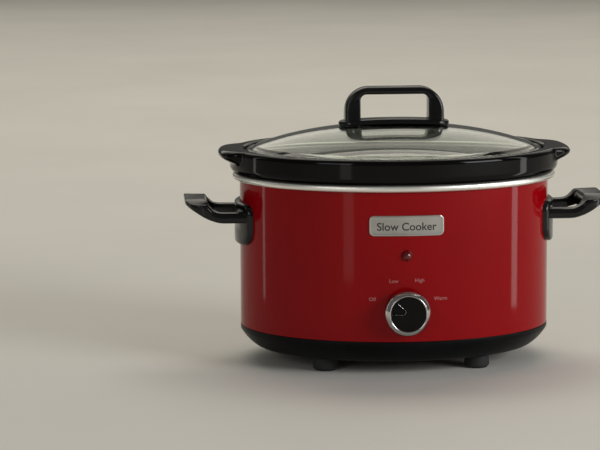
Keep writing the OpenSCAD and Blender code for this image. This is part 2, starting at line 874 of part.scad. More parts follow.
// Loop handle seen from the front: upright legs that round over broadly into the bar.
module lid_loop_outline() {
    foot = plate_top - 3.5;
    shoulder = [21, 22];
    round_in = 5.5;
    outer = [for (p = arc(0, 0, 1, 0, 90, 12))
        [43.5 - shoulder[0] * (1 - p[0]), handle_top - shoulder[1] * (1 - p[1])]];
    bar_under = handle_top - 6.4;
    inner = arc(30 - round_in, bar_under - round_in, round_in, 0, 90, 6);
    difference() {
        for (s = [0, 1])
            mirror([s, 0]) polygon(concat([[-cut, foot], [43.5, foot]], outer, [[-cut, handle_top]]));
        for (s = [0, 1])
            mirror([s, 0])
                polygon(concat(
                    [[-cut, foot - cut], [30, foot - cut]], inner, [[-cut, bar_under]]
                ));
    }
}

// A sheet of thickness t bent over the dome, with its top at height z in the middle.
module arched_sheet(z, t) {
    translate([0, 20, z - plate_bend])
        rotate([90, 0, 0])
            difference() {
                cylinder(r = plate_bend, h = 40, $fn = 720);
                translate([0, 0, -cut]) cylinder(r = plate_bend - t, h = 40 + 2 * cut, $fn = 720);
            }
}

module lid_handle() {
    plate_half = 48.7;
    half = 12;
    color(black_plastic)
    difference() {
        union() {
            intersection() {
                translate([0, 0, 200])
                    linear_extrude(height = 20)
                        polygon(concat(
                            arc(plate_half - half, 0, half, -90, 90, 10),
                            arc(half - plate_half, 0, half, 90, 270, 10)
                        ));
                arched_sheet(plate_top, plate_t);
            }
            translate([0, 9, 0])
                rotate([90, 0, 0]) linear_extrude(height = 18) lid_loop_outline();
        }
        for (x = [-lid_leg_x, lid_leg_x])
            translate([x, 0, 200]) cylinder(r = 1.95, h = 20, $fn = 32);
    }
}

module lid_handle_screws() {
    head = dome_z(lid_leg_x + 5) - glass_t - 0.1;
    color(steel)
        for (x = [-lid_leg_x, lid_leg_x])
            translate([x, 0, head]) screw(4.5, 2.4, 1.9, 219 - head);
}

// Thin soft rings between the plate and the glass.
module lid_handle_washers() {
    color([0.15, 0.15, 0.15])
        intersection() {
            for (x = [-lid_leg_x, lid_leg_x])
                translate([x, 0, 200]) washer(7, 2.3, 20);
            arched_sheet(plate_top - plate_t - washer_gap, washer_t);
        }
}

// ---- control knob ---------------------------------------------------------------------

knob_face = knob_reach - 0.8;
knob_core = knob_r - 4.5;
hub_start = 4.8;                      // where the hub starts, clear of the bush and its nut
off_angle = 157.5;                    // the way to Off, from the right and anticlockwise
pointer_t = 0.8;
pointer_tip = 5.4;                    // middle of the pointer's round tip, from the axis

// A D-shaped shaft: round with one flat.
module d_shaft(r, flat, h) {
    intersection() {
        cylinder(r = r, h = h, $fn = 64);
        translate([-r - cut, -r - cut, -cut]) cube([2 * r + 2 * cut, r + flat + cut, h + 2 * cut]);
    }
}

module knob_body() {
    wall = 1.6;
    color(black_plastic)
        on_front(0, knob_z)
            difference() {
                rotate_extrude($fn = 96)
                    polygon([
                        [0, knob_face], [knob_core, knob_face], [knob_core, 2.1],
                        [knob_core + 2.4, 2.1], [knob_core + 2.4, 0.7],
                        [knob_core - wall, 0.7], [knob_core - wall, knob_face - 2.4],
                        [5.2, knob_face - 2.4], [5.2, hub_start], [0, hub_start]
                    ]);
                translate([0, 0, hub_start - cut])
                    d_shaft(shaft_r + 0.06, 2.06, 5.4 + cut);
                rotate([0, 0, off_angle])
                    translate([0, 0, knob_face - pointer_t])
                        linear_extrude(height = 2)
                            polygon(concat(
                                arc(pointer_tip, 0, 2.1, 110, 250, 8),
                                [[knob_core + cut, -5.5], [knob_core + cut, 5.5]]
                            ));
            }
}

module knob_ring() {
    color("gainsboro")
        on_front(0, knob_z)
            rotate_extrude($fn = 96)
                polygon([
                    [knob_core + 0.1, 2.2], [knob_core + 2.6, 2.2], [knob_core + 2.6, 0.7],
                    [knob_r, 0.7], [knob_r, knob_reach - 5], [knob_r - 0.6, knob_reach - 4],
                    [knob_core + 0.9, knob_reach - 0.1], [knob_core + 0.5, knob_reach],
                    [knob_core + 0.1, knob_reach - 0.2]
                ]);
}

// A split spring ring round the knob's hub.
module knob_clip() {
    color(steel)
        on_front(0, knob_z)
            translate([0, 0, hub_start + 0.6])
                difference() {
                    washer(5.9, 5.25, 2.4);
                    translate([0, -1, -cut]) cube([8, 2, 5]);
                }
}

module switch_shaft() {
    shaft_end = switch_rear + 1;
    color(steel)
        on_front(0, knob_z)
            union() {
                translate([0, 0, shaft_end])
                    cylinder(r = shaft_r, h = hub_start - 0.2 - shaft_end, $fn = 64);
                translate([0, 0, hub_start - 0.2]) d_shaft(shaft_r, 2, 5);
            }
}

module switch_rotor() {
    color("ivory")
        on_front(0, knob_z)
            translate([0, 0, -8.6])
                difference() {
                    cylinder(r = 10.4, h = 4, $fn = 64);
                    translate([0, 0, -cut]) cylinder(r = shaft_r + 0.05, h = 7, $fn = 64);
                    for (t = [0:45:315])
                        rotate([0, 0, t])
                            translate([8, 0, -cut]) cylinder(r = 0.9, h = 7, $fn = 24);
                }
}

// ---- the pieces -----------------------------------------------------------------------

base_tray();
outer_wrap();
heating_pot();
heater_band();
heater_springs();
heater_terminals();
pot_stud();
stud_spacer();
stud_washer();
stud_nut();
foot(-foot_x, -foot_y);  // foot_front_left
foot(foot_x, -foot_y);  // foot_front_right
foot(-foot_x, foot_y);  // foot_rear_left
foot(foot_x, foot_y);  // foot_rear_right
foot_screws();
side_handle(-1);  // left_handle
side_handle(1);  // right_handle
handle_screws();
badge_plate();
badge_clips();
lamp_lens();
lamp_clip();
neon_lamp();
lamp_resistor();
switch_housing();
switch_back();
switch_terminals();
switch_nut();
thermal_cutoff();
cutoff_sleeve();
cutoff_clip();
terminal_block();
terminal_screws();
earth_stud();
earth_tag();
earth_nut();
cord_gland();
gland_nut();
wire(wire_live_route, "saddlebrown");  // wire_live
wire(wire_neutral_route, "royalblue");  // wire_neutral
wire(wire_earth_route, "olivedrab");  // wire_earth
wire(wire_cutoff_in_route, "saddlebrown");  // wire_cutoff_in
wire(wire_cutoff_out_route, "saddlebrown");  // wire_cutoff_out
wire(wire_heater_left_route, "white");  // wire_heater_left
wire(wire_heater_right_route, "royalblue");  // wire_heater_right
wire(wire_lamp_route, "white");  // wire_lamp
crock();
lid_glass();
lid_handle();
lid_handle_screws();
lid_handle_washers();
knob_body();
knob_ring();
knob_clip();
switch_shaft();
switch_rotor();
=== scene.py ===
# %% [markdown]
# # A slow cooker, piece by piece
# The working model of the cooker is already made: every piece has its size, its place and its joint.
# This script loads that model and gives each piece the surface that a hand or an eye would meet:
# enamelled steel, glazed stoneware, glass, moulded plastic, chrome. Nothing here moves a piece or
# makes it bigger.
# %% Load the working model
import json
import math
import bpy
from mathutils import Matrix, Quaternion, Vector


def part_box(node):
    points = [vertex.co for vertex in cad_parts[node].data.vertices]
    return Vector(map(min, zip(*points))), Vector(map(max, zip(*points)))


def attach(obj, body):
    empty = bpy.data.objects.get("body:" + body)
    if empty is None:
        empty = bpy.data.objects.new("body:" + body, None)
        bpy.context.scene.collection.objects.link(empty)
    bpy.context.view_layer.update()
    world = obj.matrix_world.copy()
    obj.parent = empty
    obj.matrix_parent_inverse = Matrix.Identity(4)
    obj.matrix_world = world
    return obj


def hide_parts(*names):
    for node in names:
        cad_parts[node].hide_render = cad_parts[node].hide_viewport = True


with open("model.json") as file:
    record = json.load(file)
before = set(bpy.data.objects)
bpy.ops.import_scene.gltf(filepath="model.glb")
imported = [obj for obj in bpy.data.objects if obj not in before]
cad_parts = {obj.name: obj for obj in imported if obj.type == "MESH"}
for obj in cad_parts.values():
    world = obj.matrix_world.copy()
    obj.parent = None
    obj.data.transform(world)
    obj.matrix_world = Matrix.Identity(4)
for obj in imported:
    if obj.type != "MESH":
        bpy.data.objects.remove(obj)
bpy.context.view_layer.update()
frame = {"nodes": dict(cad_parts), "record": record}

NODES = frame["nodes"]
print("pieces in the working model:", len(NODES))

# %% [markdown]
# ## Sizes
# Lengths in this script are in millimetres, because that is how such a cooker is drawn, and MM turns
# them into Blender's metres at the last moment. The places come from the working model: `span` reads
# a piece's lowest and highest corner. Every oval of the cooker has one shape, so two numbers draw
# them all: the half-width of the oval, and RATIO, its depth over its width.
# %% Read the main sizes
MM = 0.001


def span(node):
    """A piece's lowest and highest corner, in millimetres."""
    low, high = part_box(node)
    return low / MM, high / MM


TRAY_LOW, TRAY_HIGH = span("base_tray")
WRAP_LOW, WRAP_HIGH = span("outer_wrap")
CROCK_HIGH = span("crock")[1]
POT_HIGH = span("heating_pot")[1]
LID_LOW, LID_HIGH = span("lid_glass")
BODY_A = round(TRAY_HIGH.x, 1)
RATIO = 0.765
REAR_Y = BODY_A * RATIO
FRONT_Y = -REAR_Y
print("body", 2 * BODY_A, "mm wide; front at", round(FRONT_Y, 1))

# %% [markdown]
# ## The camera
# A long lens far away keeps the ovals calm; a short lens close by would make the near rim look too
# deep. The camera stands a little to the left of the front and looks down by about nine degrees, and
# the cooker sits right of the middle of the view.
# %% Place the camera
CAMERA_PLACE = Vector((-247, -2290, 463)) * MM
CAMERA_AIM = Vector((-82.6, 7.4, 116.8)) * MM
CAMERA_ROLL = math.radians(-0.3)

lens = bpy.data.cameras.new("long_lens")
lens.lens = 157.9
lens.sensor_width = 36
camera = bpy.data.objects.new("camera", lens)
camera.location = CAMERA_PLACE
camera.rotation_mode = "QUATERNION"
camera.rotation_quaternion = (CAMERA_AIM - CAMERA_PLACE).to_track_quat("-Z", "Y")
camera.rotation_quaternion @= Quaternion((0, 0, 1), CAMERA_ROLL)
bpy.context.scene.collection.objects.link(camera)
bpy.context.scene.camera = camera
bpy.context.scene.view_settings.view_transform = "Standard"
print("camera", round((CAMERA_AIM - CAMERA_PLACE).length, 2), "m from the cooker")

# %% [markdown]
# ## Two ways to make a mesh
# Almost everything on this cooker is a section carried round an axis, or a row of outlines joined
# like the ribs of a boat. So there are two makers: `turn` for the first kind, with `turn_oval` for
# the cooker's own oval, and `loft` for the second. Modifiers could do the same, but plain points
# keep every size in sight. Both makers take a drawing whose corners have been rounded by `ease`,
# because a real edge is never sharp and it is the eased edge that catches the light.
# %% Drawing helpers
TAU = 2 * math.pi


def smooth(t):
    """0 up to t = 0, 1 from t = 1, and an even rise between."""
    t = min(1, max(0, t))
    return t * t * (3 - 2 * t)


def arc(u, v, radius, start, end, steps):
    """Points along an arc of a circle; the angles are in degrees."""
    turns = [math.radians(start + (end - start) * i / steps) for i in range(steps + 1)]
    return [(u + radius * math.cos(t), v + radius * math.sin(t)) for t in turns]


def ease(corners, closed=False, steps=5):
    """Rounds the corners of a drawing. Each corner is (u, v) or (u, v, radius)."""
    points = []
    count = len(corners)
    for i, corner in enumerate(corners):
        here = Vector(corner[:2])
        radius = corner[2] if len(corner) > 2 else 0
        if radius == 0 or (not closed and i in (0, count - 1)):
            points.append(tuple(here))
            continue
        back = (Vector(corners[i - 1][:2]) - here).normalized()
        ahead = (Vector(corners[(i + 1) % count][:2]) - here).normalized()
        half = back.angle(ahead) / 2
        middle = here + (back + ahead).normalized() * (radius / math.sin(half))
        first = here + back * (radius / math.tan(half)) - middle
        last = here + ahead * (radius / math.tan(half)) - middle
        bend = last.angle_signed(first)
        for k in range(steps + 1):
            t = bend * k / steps
            turned = Vector((first.x * math.cos(t) - first.y * math.sin(t),
                             first.x * math.sin(t) + first.y * math.cos(t)))
            points.append(tuple(middle + turned))
    return points


def spaced(points, count):
    """The same line, drawn again with `count` points at equal distances."""
    line = [Vector(p) for p in points]
    lengths = [0.0]
    for a, b in zip(line, line[1:]):
        lengths.append(lengths[-1] + (b - a).length)
    result = []
    j = 0
    for i in range(count):
        want = lengths[-1] * i / (count - 1)
        while j < len(line) - 2 and lengths[j + 1] < want:
            j += 1
        step = lengths[j + 1] - lengths[j]
        share = (want - lengths[j]) / step if step else 0
        result.append(line[j].lerp(line[j + 1], min(max(share, 0), 1)))
    return result


def make(name, points, faces, crease=35):
    """A mesh object from points in millimetres; edges bent past `crease` degrees stay crisp."""
    mesh = bpy.data.meshes.new(name)
    mesh.from_pydata([Vector(p) * MM for p in points], [], faces)
    mesh.validate()
    mesh.shade_smooth()
    mesh.set_sharp_from_angle(angle=math.radians(crease))
    piece = bpy.data.objects.new(name, mesh)
    bpy.context.scene.collection.objects.link(piece)
    return piece


def turn(name, profile, ratio=1.0, segments=96, closed=True, crease=35):
    """Carries a (radius, height) section round an upright axis, as an oval if ratio isn't 1."""
    points, rows = [], []
    for a, z in profile:
        if a < 1e-6:
            rows.append([len(points)] * segments)
            points.append((0, 0, z))
            continue
        rows.append(range(len(points), len(points) + segments))
        for i in range(segments):
            t = TAU * i / segments
            points.append((a * math.cos(t), a * ratio * math.sin(t), z))
    faces = []
    pairs = list(zip(rows, rows[1:]))
    if closed:
        pairs.append((rows[-1], rows[0]))
    for low, high in pairs:
        for i in range(segments):
            k = (i + 1) % segments
            face = [low[i], low[k], high[k], high[i]]
            face = [v for n, v in enumerate(face) if v != face[n - 1]]
            if len(face) > 2:
                faces.append(face)
    return make(name, points, faces, crease)


def turn_oval(name, profile, closed=True, crease=35):
    """The same, round the cooker's oval."""
    return turn(name, profile, RATIO, 288, closed, crease)


def loft(name, outlines):
    """Joins a row of closed outlines, each with the same number of points, and closes both ends."""
    size = len(outlines[0])
    points = [p for outline in outlines for p in outline]
    faces = []
    rows = len(outlines)
    for j in range(rows - 1):
        low, high = j * size, (j + 1) * size
        for i in range(size):
            k = (i + 1) % size
            faces.append([low + i, low + k, high + k, high + i])
    faces.append(list(range(size))[::-1])
    faces.append(list(range((rows - 1) * size, rows * size)))
    return make(name, points, faces)


def join(name, *parts):
    """Makes one piece of several."""
    bpy.ops.object.select_all(action="DESELECT")
    for part in parts:
        part.select_set(True)
    bpy.context.view_layer.objects.active = parts[0]
    bpy.ops.object.join()
    parts[0].name = name
    return parts[0]


print("makers ready")

# %% [markdown]
# ## Finishes
# A finish is more than a colour. Moulded plastic has a faint grain, steel keeps the lines of its
# brushing, enamel is never quite flat, and everything that is handled is a little more dull in some
# places than in others. Image textures could carry all that, but noise needs no unwrapping and
# never repeats. So `finish` sets what is even all over on the shader itself, and adds unevenness
# from noise: slow patches in the gloss and the tint, and a fine grain in the surface.
# %% Finish maker
def finish(name, colour, metallic=0.0, gloss=(0.3, 0.4), patch=30, grain=900, depth=0.0,
           stretch=(1, 1, 1), shade=0.12, **even):
    """gloss: least and most roughness; grain: how fine; depth: bump in millimetres."""
    material = bpy.data.materials.new(name)
    material.use_nodes = True
    tree = material.node_tree
    shader = tree.nodes["Principled BSDF"]
    shader.inputs["Metallic"].default_value = metallic
    for socket, value in even.items():
        shader.inputs[socket.replace("_", " ")].default_value = value

    place = tree.nodes.new("ShaderNodeTexCoord")
    scaled = tree.nodes.new("ShaderNodeMapping")
    scaled.inputs["Scale"].default_value = stretch
    tree.links.new(place.outputs["Object"], scaled.inputs["Vector"])

    patches = tree.nodes.new("ShaderNodeTexNoise")
    patches.inputs["Scale"].default_value = patch
    patches.inputs["Detail"].default_value = 5
    tree.links.new(place.outputs["Object"], patches.inputs["Vector"])

    dull = tree.nodes.new("ShaderNodeMapRange")
    dull.inputs["From Min"].default_value = 0.35
    dull.inputs["From Max"].default_value = 0.65
    dull.inputs["To Min"].default_value = gloss[0]
    dull.inputs["To Max"].default_value = gloss[1]
    tree.links.new(patches.outputs["Fac"], dull.inputs["Value"])
    tree.links.new(dull.outputs["Result"], shader.inputs["Roughness"])

    tint = tree.nodes.new("ShaderNodeValToRGB")
    darker = [c * (1 - shade) for c in colour]
    lighter = [min(1, c * (1 + shade)) for c in colour]
    tint.color_ramp.elements[0].position = 0.3
    tint.color_ramp.elements[0].color = (*darker, 1)
    tint.color_ramp.elements[1].position = 0.7
    tint.color_ramp.elements[1].color = (*lighter, 1)
    tree.links.new(patches.outputs["Fac"], tint.inputs["Fac"])
    tree.links.new(tint.outputs["Color"], shader.inputs["Base Color"])

    if depth:
        fine = tree.nodes.new("ShaderNodeTexNoise")
        fine.inputs["Scale"].default_value = grain
        fine.inputs["Detail"].default_value = 3
        tree.links.new(scaled.outputs["Vector"], fine.inputs["Vector"])
        bump = tree.nodes.new("ShaderNodeBump")
        bump.inputs["Distance"].default_value = depth * MM
        bump.inputs["Strength"].default_value = 1
        tree.links.new(fine.outputs["Fac"], bump.inputs["Height"])
        tree.links.new(bump.outputs["Normal"], shader.inputs["Normal"])
    return material


def dress(piece, material, slot, body, *stands_for):
    """Gives a piece its finish, the body it rides on and the nodes it replaces; slot is not used."""
    piece.data.materials.clear()
    piece.data.materials.append(material)
    if stands_for:
        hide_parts(*stands_for)
    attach(piece, body)
    print(piece.name, len(piece.data.polygons), "faces")


# %% [markdown]
# ## The cooker's own finishes
# Three things here are black, and they must not look the same: the glaze is a mirror, the handles are
# polished, the tray is satin. What parts them is `gloss`, and how strongly they mirror at all
# (Specular IOR Level), which is kept low so that black stays deep under a bright room. The enamel's
# red has almost no green or blue in it, or it would turn pink where the light is strong.
# %% Mix the finishes
ENAMEL = finish("red_enamel", (0.27, 0.0010, 0.0035), gloss=(0.05, 0.09), patch=14, grain=160,
                depth=0.002, shade=0.06, Specular_IOR_Level=0.15)
SATIN_STEEL = finish("satin_steel", (0.94, 0.93, 0.87), metallic=1.0, gloss=(0.36, 0.44), patch=25,
                     grain=300, depth=0.004, stretch=(0.05, 0.05, 4), shade=0.04)
GLAZE = finish("black_glaze", (0.0025, 0.0025, 0.0025), gloss=(0.04, 0.09), patch=22, grain=55,
               depth=0.02, shade=0.4, Specular_IOR_Level=0.15)
GLOSS_BLACK = finish("gloss_black_plastic", (0.006, 0.006, 0.0065), gloss=(0.14, 0.24), patch=40,
                     grain=700, depth=0.006, shade=0.3, Specular_IOR_Level=0.35)
KNOB_BLACK = finish("knob_black", (0.004, 0.004, 0.004), gloss=(0.16, 0.24), patch=60, grain=900,
                    depth=0.004, shade=0.3, Specular_IOR_Level=0.12)
SATIN_BLACK = finish("satin_black_plastic", (0.004, 0.004, 0.0045), gloss=(0.30, 0.42), patch=35,
                     grain=1400, depth=0.02, shade=0.25, Specular_IOR_Level=0.1)
RUBBER = finish("black_rubber", (0.016, 0.016, 0.017), gloss=(0.65, 0.8), patch=50, grain=1100,
                depth=0.03, shade=0.3)
CHROME = finish("bright_chrome", (0.62, 0.60, 0.60), metallic=1.0, gloss=(0.05, 0.12), patch=60,
                grain=500, depth=0.002, shade=0.03)
BADGE_STEEL = finish("brushed_badge", (0.55, 0.54, 0.52), metallic=1.0, gloss=(0.28, 0.38),
                     patch=40, grain=260, depth=0.012, stretch=(0.06, 0.06, 6), shade=0.08)
PALE_PRINT = finish("pale_print", (0.46, 0.20, 0.20), gloss=(0.45, 0.55), patch=80, shade=0.1)
DARK_PRINT = finish("dark_print", (0.03, 0.03, 0.03), gloss=(0.35, 0.5), patch=80, shade=0.1)
JEWEL = finish("red_jewel", (0.16, 0.001, 0.002), gloss=(0.04, 0.08), patch=60, shade=0.1,
               Transmission_Weight=0.3, IOR=1.6)
print("finishes:", len(bpy.data.materials))

# %% [markdown]
# ## Clear glass
# Toughened glass is nearly colourless in the middle and green at its edge, where you look along the
# sheet. It is one closed shell with a real thickness, so light bends in on one face and out on the
# other, and a faint smear changes its gloss.
# %% Glass finish
GLASS = finish("lid_glass", (0.88, 0.92, 0.84), gloss=(0.0, 0.03), patch=12, shade=0.02,
               Transmission_Weight=1.0, IOR=1.5)
print("glass ready")

# %% [markdown]
# ## Outer wrap
# The body is one strip of steel, enamelled red, bent into an oval and lapped at the rear. Its edges
# are hidden: the lower one stands on the tray and the upper one goes up under the rolled rim. It is
# made as a thin section carried round the oval. Just inside each edge the section has one more pair
# of points: without them the shading of the rounded edge would spread over the whole height, and the
# reflections would bend. The lap is the strip's free end: a thin flap, lofted from bottom to top.
# The strip's holes are left out, since the knob, lamp, badge and handles hide every one.
# %% Make the wrap
WRAP_T = 0.8
EDGE_R = 0.3
EDGE_BAND = 0.6
LAP_START, LAP_END = 46, 60
wrap_bottom = WRAP_LOW.z
wrap_top = WRAP_HIGH.z
wrap_in = BODY_A - WRAP_T
wrap = turn_oval("enamel_wrap", ease([
    (BODY_A, wrap_bottom, EDGE_R), (BODY_A, wrap_bottom + EDGE_BAND), (BODY_A, wrap_top - EDGE_BAND),
    (BODY_A, wrap_top, EDGE_R), (wrap_in, wrap_top, EDGE_R), (wrap_in, wrap_top - EDGE_BAND),
    (wrap_in, wrap_bottom + EDGE_BAND), (wrap_in, wrap_bottom, EDGE_R)], closed=True, steps=3))
lap_section = ease([(LAP_START, -0.3), (LAP_START, 0.7, 0.3), (LAP_END, 0.5, 0.2), (LAP_END, -0.3)],
                   steps=3)
lap_ribs = []
for z in (wrap_bottom + 0.2, wrap_bottom + EDGE_BAND, wrap_top - EDGE_BAND, wrap_top - 0.2):
    lap_ribs.append([(x, REAR_Y * math.sqrt(1 - (x / BODY_A) ** 2) + out, z) for x, out in lap_section])
lap = loft("rear_lap", lap_ribs)
wrap = join("enamel_wrap", wrap, lap)
dress(wrap, ENAMEL, "wrap_paint", "base", "outer_wrap")

# %% [markdown]
# ## Base tray
# The tray is moulded plastic: a short upright lip under the wrap, a swelling slope, and a flat floor.
# A rim inside the wrap keeps the steel in place, and a thin line of shadow parts it from the steel.
# One section carried round the oval gives all of it. The slope is a straight line that is pushed
# outwards most at its middle.
# %% Make the tray
SLOPE_STEPS = 12
SLOPE_SWELL = 1.1
SWELL_OUT, SWELL_DOWN = 0.72, 0.69
TRAY_T = 2.5
tray_floor = TRAY_LOW.z
floor_a = 123
lip_z = 27.4
rim_out = BODY_A - 0.9
rim_in = BODY_A - 5.2
rim_top = wrap_bottom + 6
lip_top = wrap_bottom - 0.2
slope = []
for i in range(SLOPE_STEPS + 1):
    t = i / SLOPE_STEPS
    swell = 4 * t * (1 - t) * SLOPE_SWELL
    slope.append((BODY_A + (floor_a - BODY_A) * t + swell * SWELL_OUT,
                  lip_z + (tray_floor + 1 - lip_z) * t - swell * SWELL_DOWN))
tray = turn_oval("moulded_tray", [(rim_out, rim_top), (rim_out, lip_top)]
                 + ease([(rim_out, lip_top), (BODY_A, lip_top, 0.35), slope[0]], steps=3)[1:]
                 + slope[1:]
                 + ease([slope[-1], (floor_a - 2, tray_floor, 0.8), (0, tray_floor)], steps=3)[1:]
                 + [(0, tray_floor + TRAY_T), (floor_a - 4, tray_floor + TRAY_T), (rim_in, lip_z),
                    (rim_in, rim_top)])
dress(tray, SATIN_BLACK, "tray_plastic", "base", "base_tray")

# %% [markdown]
# ## Feet
# Four soft rubber buttons, a little rounder at the ground than at the top, each with a pocket that
# hides the head of its screw. A round foot is a section turned about an upright axis. The four are
# alike, so one drawing is made four times and set where the working model has its feet.
# %% Make the feet
SCREW_R = 2.2
POCKET_R, POCKET_DEEP = 5, 6
for node in ("foot_front_left", "foot_front_right", "foot_rear_left", "foot_rear_right"):
    low, high = span(node)
    radius = (high.x - low.x) / 2
    foot = turn("rubber_" + node, ease([
        (SCREW_R, high.z), (radius - 0.6, high.z, 0.4), (radius, 2.4, 2.0), (radius - 2.4, 0, 1.0),
        (POCKET_R, 0, 0.6), (POCKET_R, POCKET_DEEP), (SCREW_R, POCKET_DEEP)], closed=True, steps=4))
    foot.location = Vector(((low.x + high.x) / 2, (low.y + high.y) / 2, 0)) * MM
    dress(foot, RUBBER, "foot_rubber", "base", node)

# %% [markdown]
# ## Heating pot
# The crock stands in a deep pan of thin steel. Only its rolled rim shows while the crock is in: a
# bright bead round the top of the wrap. The pan is drawn as one closed sheet, up its outside, over
# the bead and down its inside, because its inside is in full view once the crock is lifted out.
# %% Make the pot
PAN_T = 0.8
flange_z = POT_HIGH.z
flange_in = 127
bead_out = POT_HIGH.x
bead_r = 2.9
corner_a, corner_r, corner_z = 89, 29.2, 77.2
pot = turn_oval("pan_and_bead", [(0, corner_z - corner_r - PAN_T)]
                + arc(corner_a, corner_z, corner_r + PAN_T, -90, -5, 12)
                + [(flange_in + PAN_T, flange_z - 2.4), (flange_in + 2.2, flange_z - PAN_T),
                   (bead_out - 5, flange_z - PAN_T)]
                + arc(bead_out - bead_r, flange_z - bead_r, bead_r, -200, 90, 22)
                + ease([(bead_out - bead_r - 0.2, flange_z), (flange_in, flange_z, 1.0),
                        (flange_in, flange_z - 4), (flange_in - 0.2, flange_z - 5)], steps=4)
                + arc(corner_a, corner_z, corner_r, -5, -90, 12)
                + [(0, corner_z - corner_r)], closed=False)
dress(pot, SATIN_STEEL, "pot_metal", "base", "heating_pot")

# %% [markdown]
# ## Crock, and the outline of its ears
# Thick stoneware with a heavy rim. The rim has three jobs: it hangs on the pot's bead, its inner step
# carries the lid, and at each end it grows an ear to lift by. The ears are part of the same clay, so
# they are part of the same mesh: the section is carried round the oval, and the rings that make the
# outside of the rim are pulled out to the ear's outline. A separate ear, joined on, would show a
# seam. This step draws the rim and the ear seen from above, with as many points in one as the other.
# %% Ear outline
RIM_A = 144.5
EAR_TIP = CROCK_HIGH.x
EAR_HALF = 36
EAR_CORNER = 16
EAR_BOW = 1.6
rim_b = RIM_A * RATIO


def rim_x(y):
    """Half-width of the plain rim at y."""
    return RIM_A * math.sqrt(1 - (y / rim_b) ** 2)


def relax(line, passes):
    """Smooths a line without moving its first two points or its last one."""
    for _ in range(passes):
        line = line[:2] + [(a + b * 2 + c) / 4 for a, b, c in zip(line[1:], line[2:], line[3:])] + line[-1:]
    return line


columns = 96
ear_end = 52
relax_passes = 14
along_rim = [(rim_x(y), y) for y in [ear_end * (i / 30 - 1) for i in range(61)]]
before = [(rim_x(y), y) for y in [-ear_end + i for i in range(int(ear_end - EAR_HALF) + 1)]]
corner_x = EAR_TIP - EAR_BOW - EAR_CORNER
bottom_corner = arc(corner_x, EAR_CORNER - EAR_HALF, EAR_CORNER, -90, -5, 12)
half_outline = before + bottom_corner + [(EAR_TIP - 0.4, -10), (EAR_TIP, 0)]
outline = half_outline + [(x, -y) for x, y in reversed(half_outline[:-1])]
rim_columns = spaced(along_rim, columns + 1)
ear_columns = relax(spaced(outline, columns + 1), relax_passes)
print("ear reaches", round(EAR_TIP - RIM_A, 1), "mm past the rim")

# %% [markdown]
# ## Crock section
# The section runs from the middle of the crock's foot, up the outside, over the rim and down the
# inside. Each point is a half-width, a height and a reach. The reach says how much of the ear that
# ring takes part in: none below, all of it at the ear's thickest, and none again on the top, where
# the lid's step begins. The ear's underside is hollowed, so its reach grows slowly at first.
# %% Draw the section
RIM_TOP = CROCK_HIGH.z
REST_GAP = 0.3
SEAT = flange_z + REST_GAP
LEDGE = RIM_TOP - 5
SHOULDER_R = 6
EDGE = 3.8

# The foot, its corner, the leaning outer wall, and the step that hangs on the bead.
bowl = [(0, 50)] + arc(89, 78, 28, -90, -5, 14)
bowl += [(117.5 + 7.6 * t, 80 + 84 * t) for t in (0.1, 0.3, 0.5, 0.7, 0.9)]
bowl += ease([(124.7, 162), (125.6, SEAT, 1.2), (138.2, SEAT, 0.8), (140.6, SEAT + 1.6)], steps=4)[1:]
bowl += arc(RIM_A - SHOULDER_R, SEAT + SHOULDER_R, SHOULDER_R, -46, 0, 6)[1:-1]

# How far below the rim's top, and the share of the ear's reach there.
ear_side = [(15.2, 0.0), (14.2, 0.01), (13.2, 0.03), (12.2, 0.08), (11.4, 0.15), (10.6, 0.26),
            (9.8, 0.40), (9.0, 0.54), (8.2, 0.67), (7.4, 0.78), (6.6, 0.87), (5.8, 0.94),
            (5.0, 0.98), (4.2, 1.0), (3.4, 1.0), (2.6, 0.99), (1.9, 0.97), (1.3, 0.94),
            (0.8, 0.90), (0.45, 0.86), (0.2, 0.81), (0.05, 0.74)]
outer = []
for drop, reach in ear_side:
    over = max(0, EDGE - drop)
    outer.append((RIM_A - EDGE + math.sqrt(EDGE ** 2 - over ** 2), RIM_TOP - drop, reach))
top = [(RIM_A - EDGE - 0.2, RIM_TOP, 0.55), (RIM_A - EDGE - 1.0, RIM_TOP, 0.28),
       (RIM_A - EDGE - 2.0, RIM_TOP, 0.0)]

# The lid's step, the leaning inner wall, and the corner and floor inside.
inside = ease([(RIM_A - 6.2, RIM_TOP), (132.2, RIM_TOP, 2.4), (131.7, LEDGE, 1.2), (121.2, LEDGE, 1.5),
               (119.4, LEDGE - 6), (119.2, LEDGE - 7)], steps=5)[1:]
inside += [(110.6 + 8.5 * t, 79 + 92 * t) for t in (0.95, 0.75, 0.5, 0.25, 0.05)]
inside += arc(89.5, 78, 21, -5, -90, 12) + [(0, 57)]
profile = [(a, z, 0) for a, z in bowl] + outer + top + [(a, z, 0) for a, z in inside]
print("section:", len(profile), "points")

# %% [markdown]
# ## Crock mesh
# Now the section is carried round. `reach_plan` holds one entry per column: its angle, and the pull
# that takes the rim out to the ear there. Between the ears the pull is nothing. It is done for one
# half of the oval and turned round for the other, so that the two ears are alike.
# %% Build the crock
plain_columns = 104
ear_angle = math.atan2(ear_end / RATIO, rim_x(ear_end))
reach_plan = []
for half in (0, 1):
    sign = -1 if half else 1
    for rim_point, ear_point in zip(rim_columns[:-1], ear_columns[:-1]):
        t = math.atan2(rim_point.y / RATIO, rim_point.x)
        pull = ear_point - rim_point
        reach_plan.append((t + math.pi * half, (sign * pull.x, sign * pull.y)))
    for i in range(plain_columns):
        t = ear_angle + (math.pi - 2 * ear_angle) * i / plain_columns
        reach_plan.append((t + math.pi * half, (0, 0)))

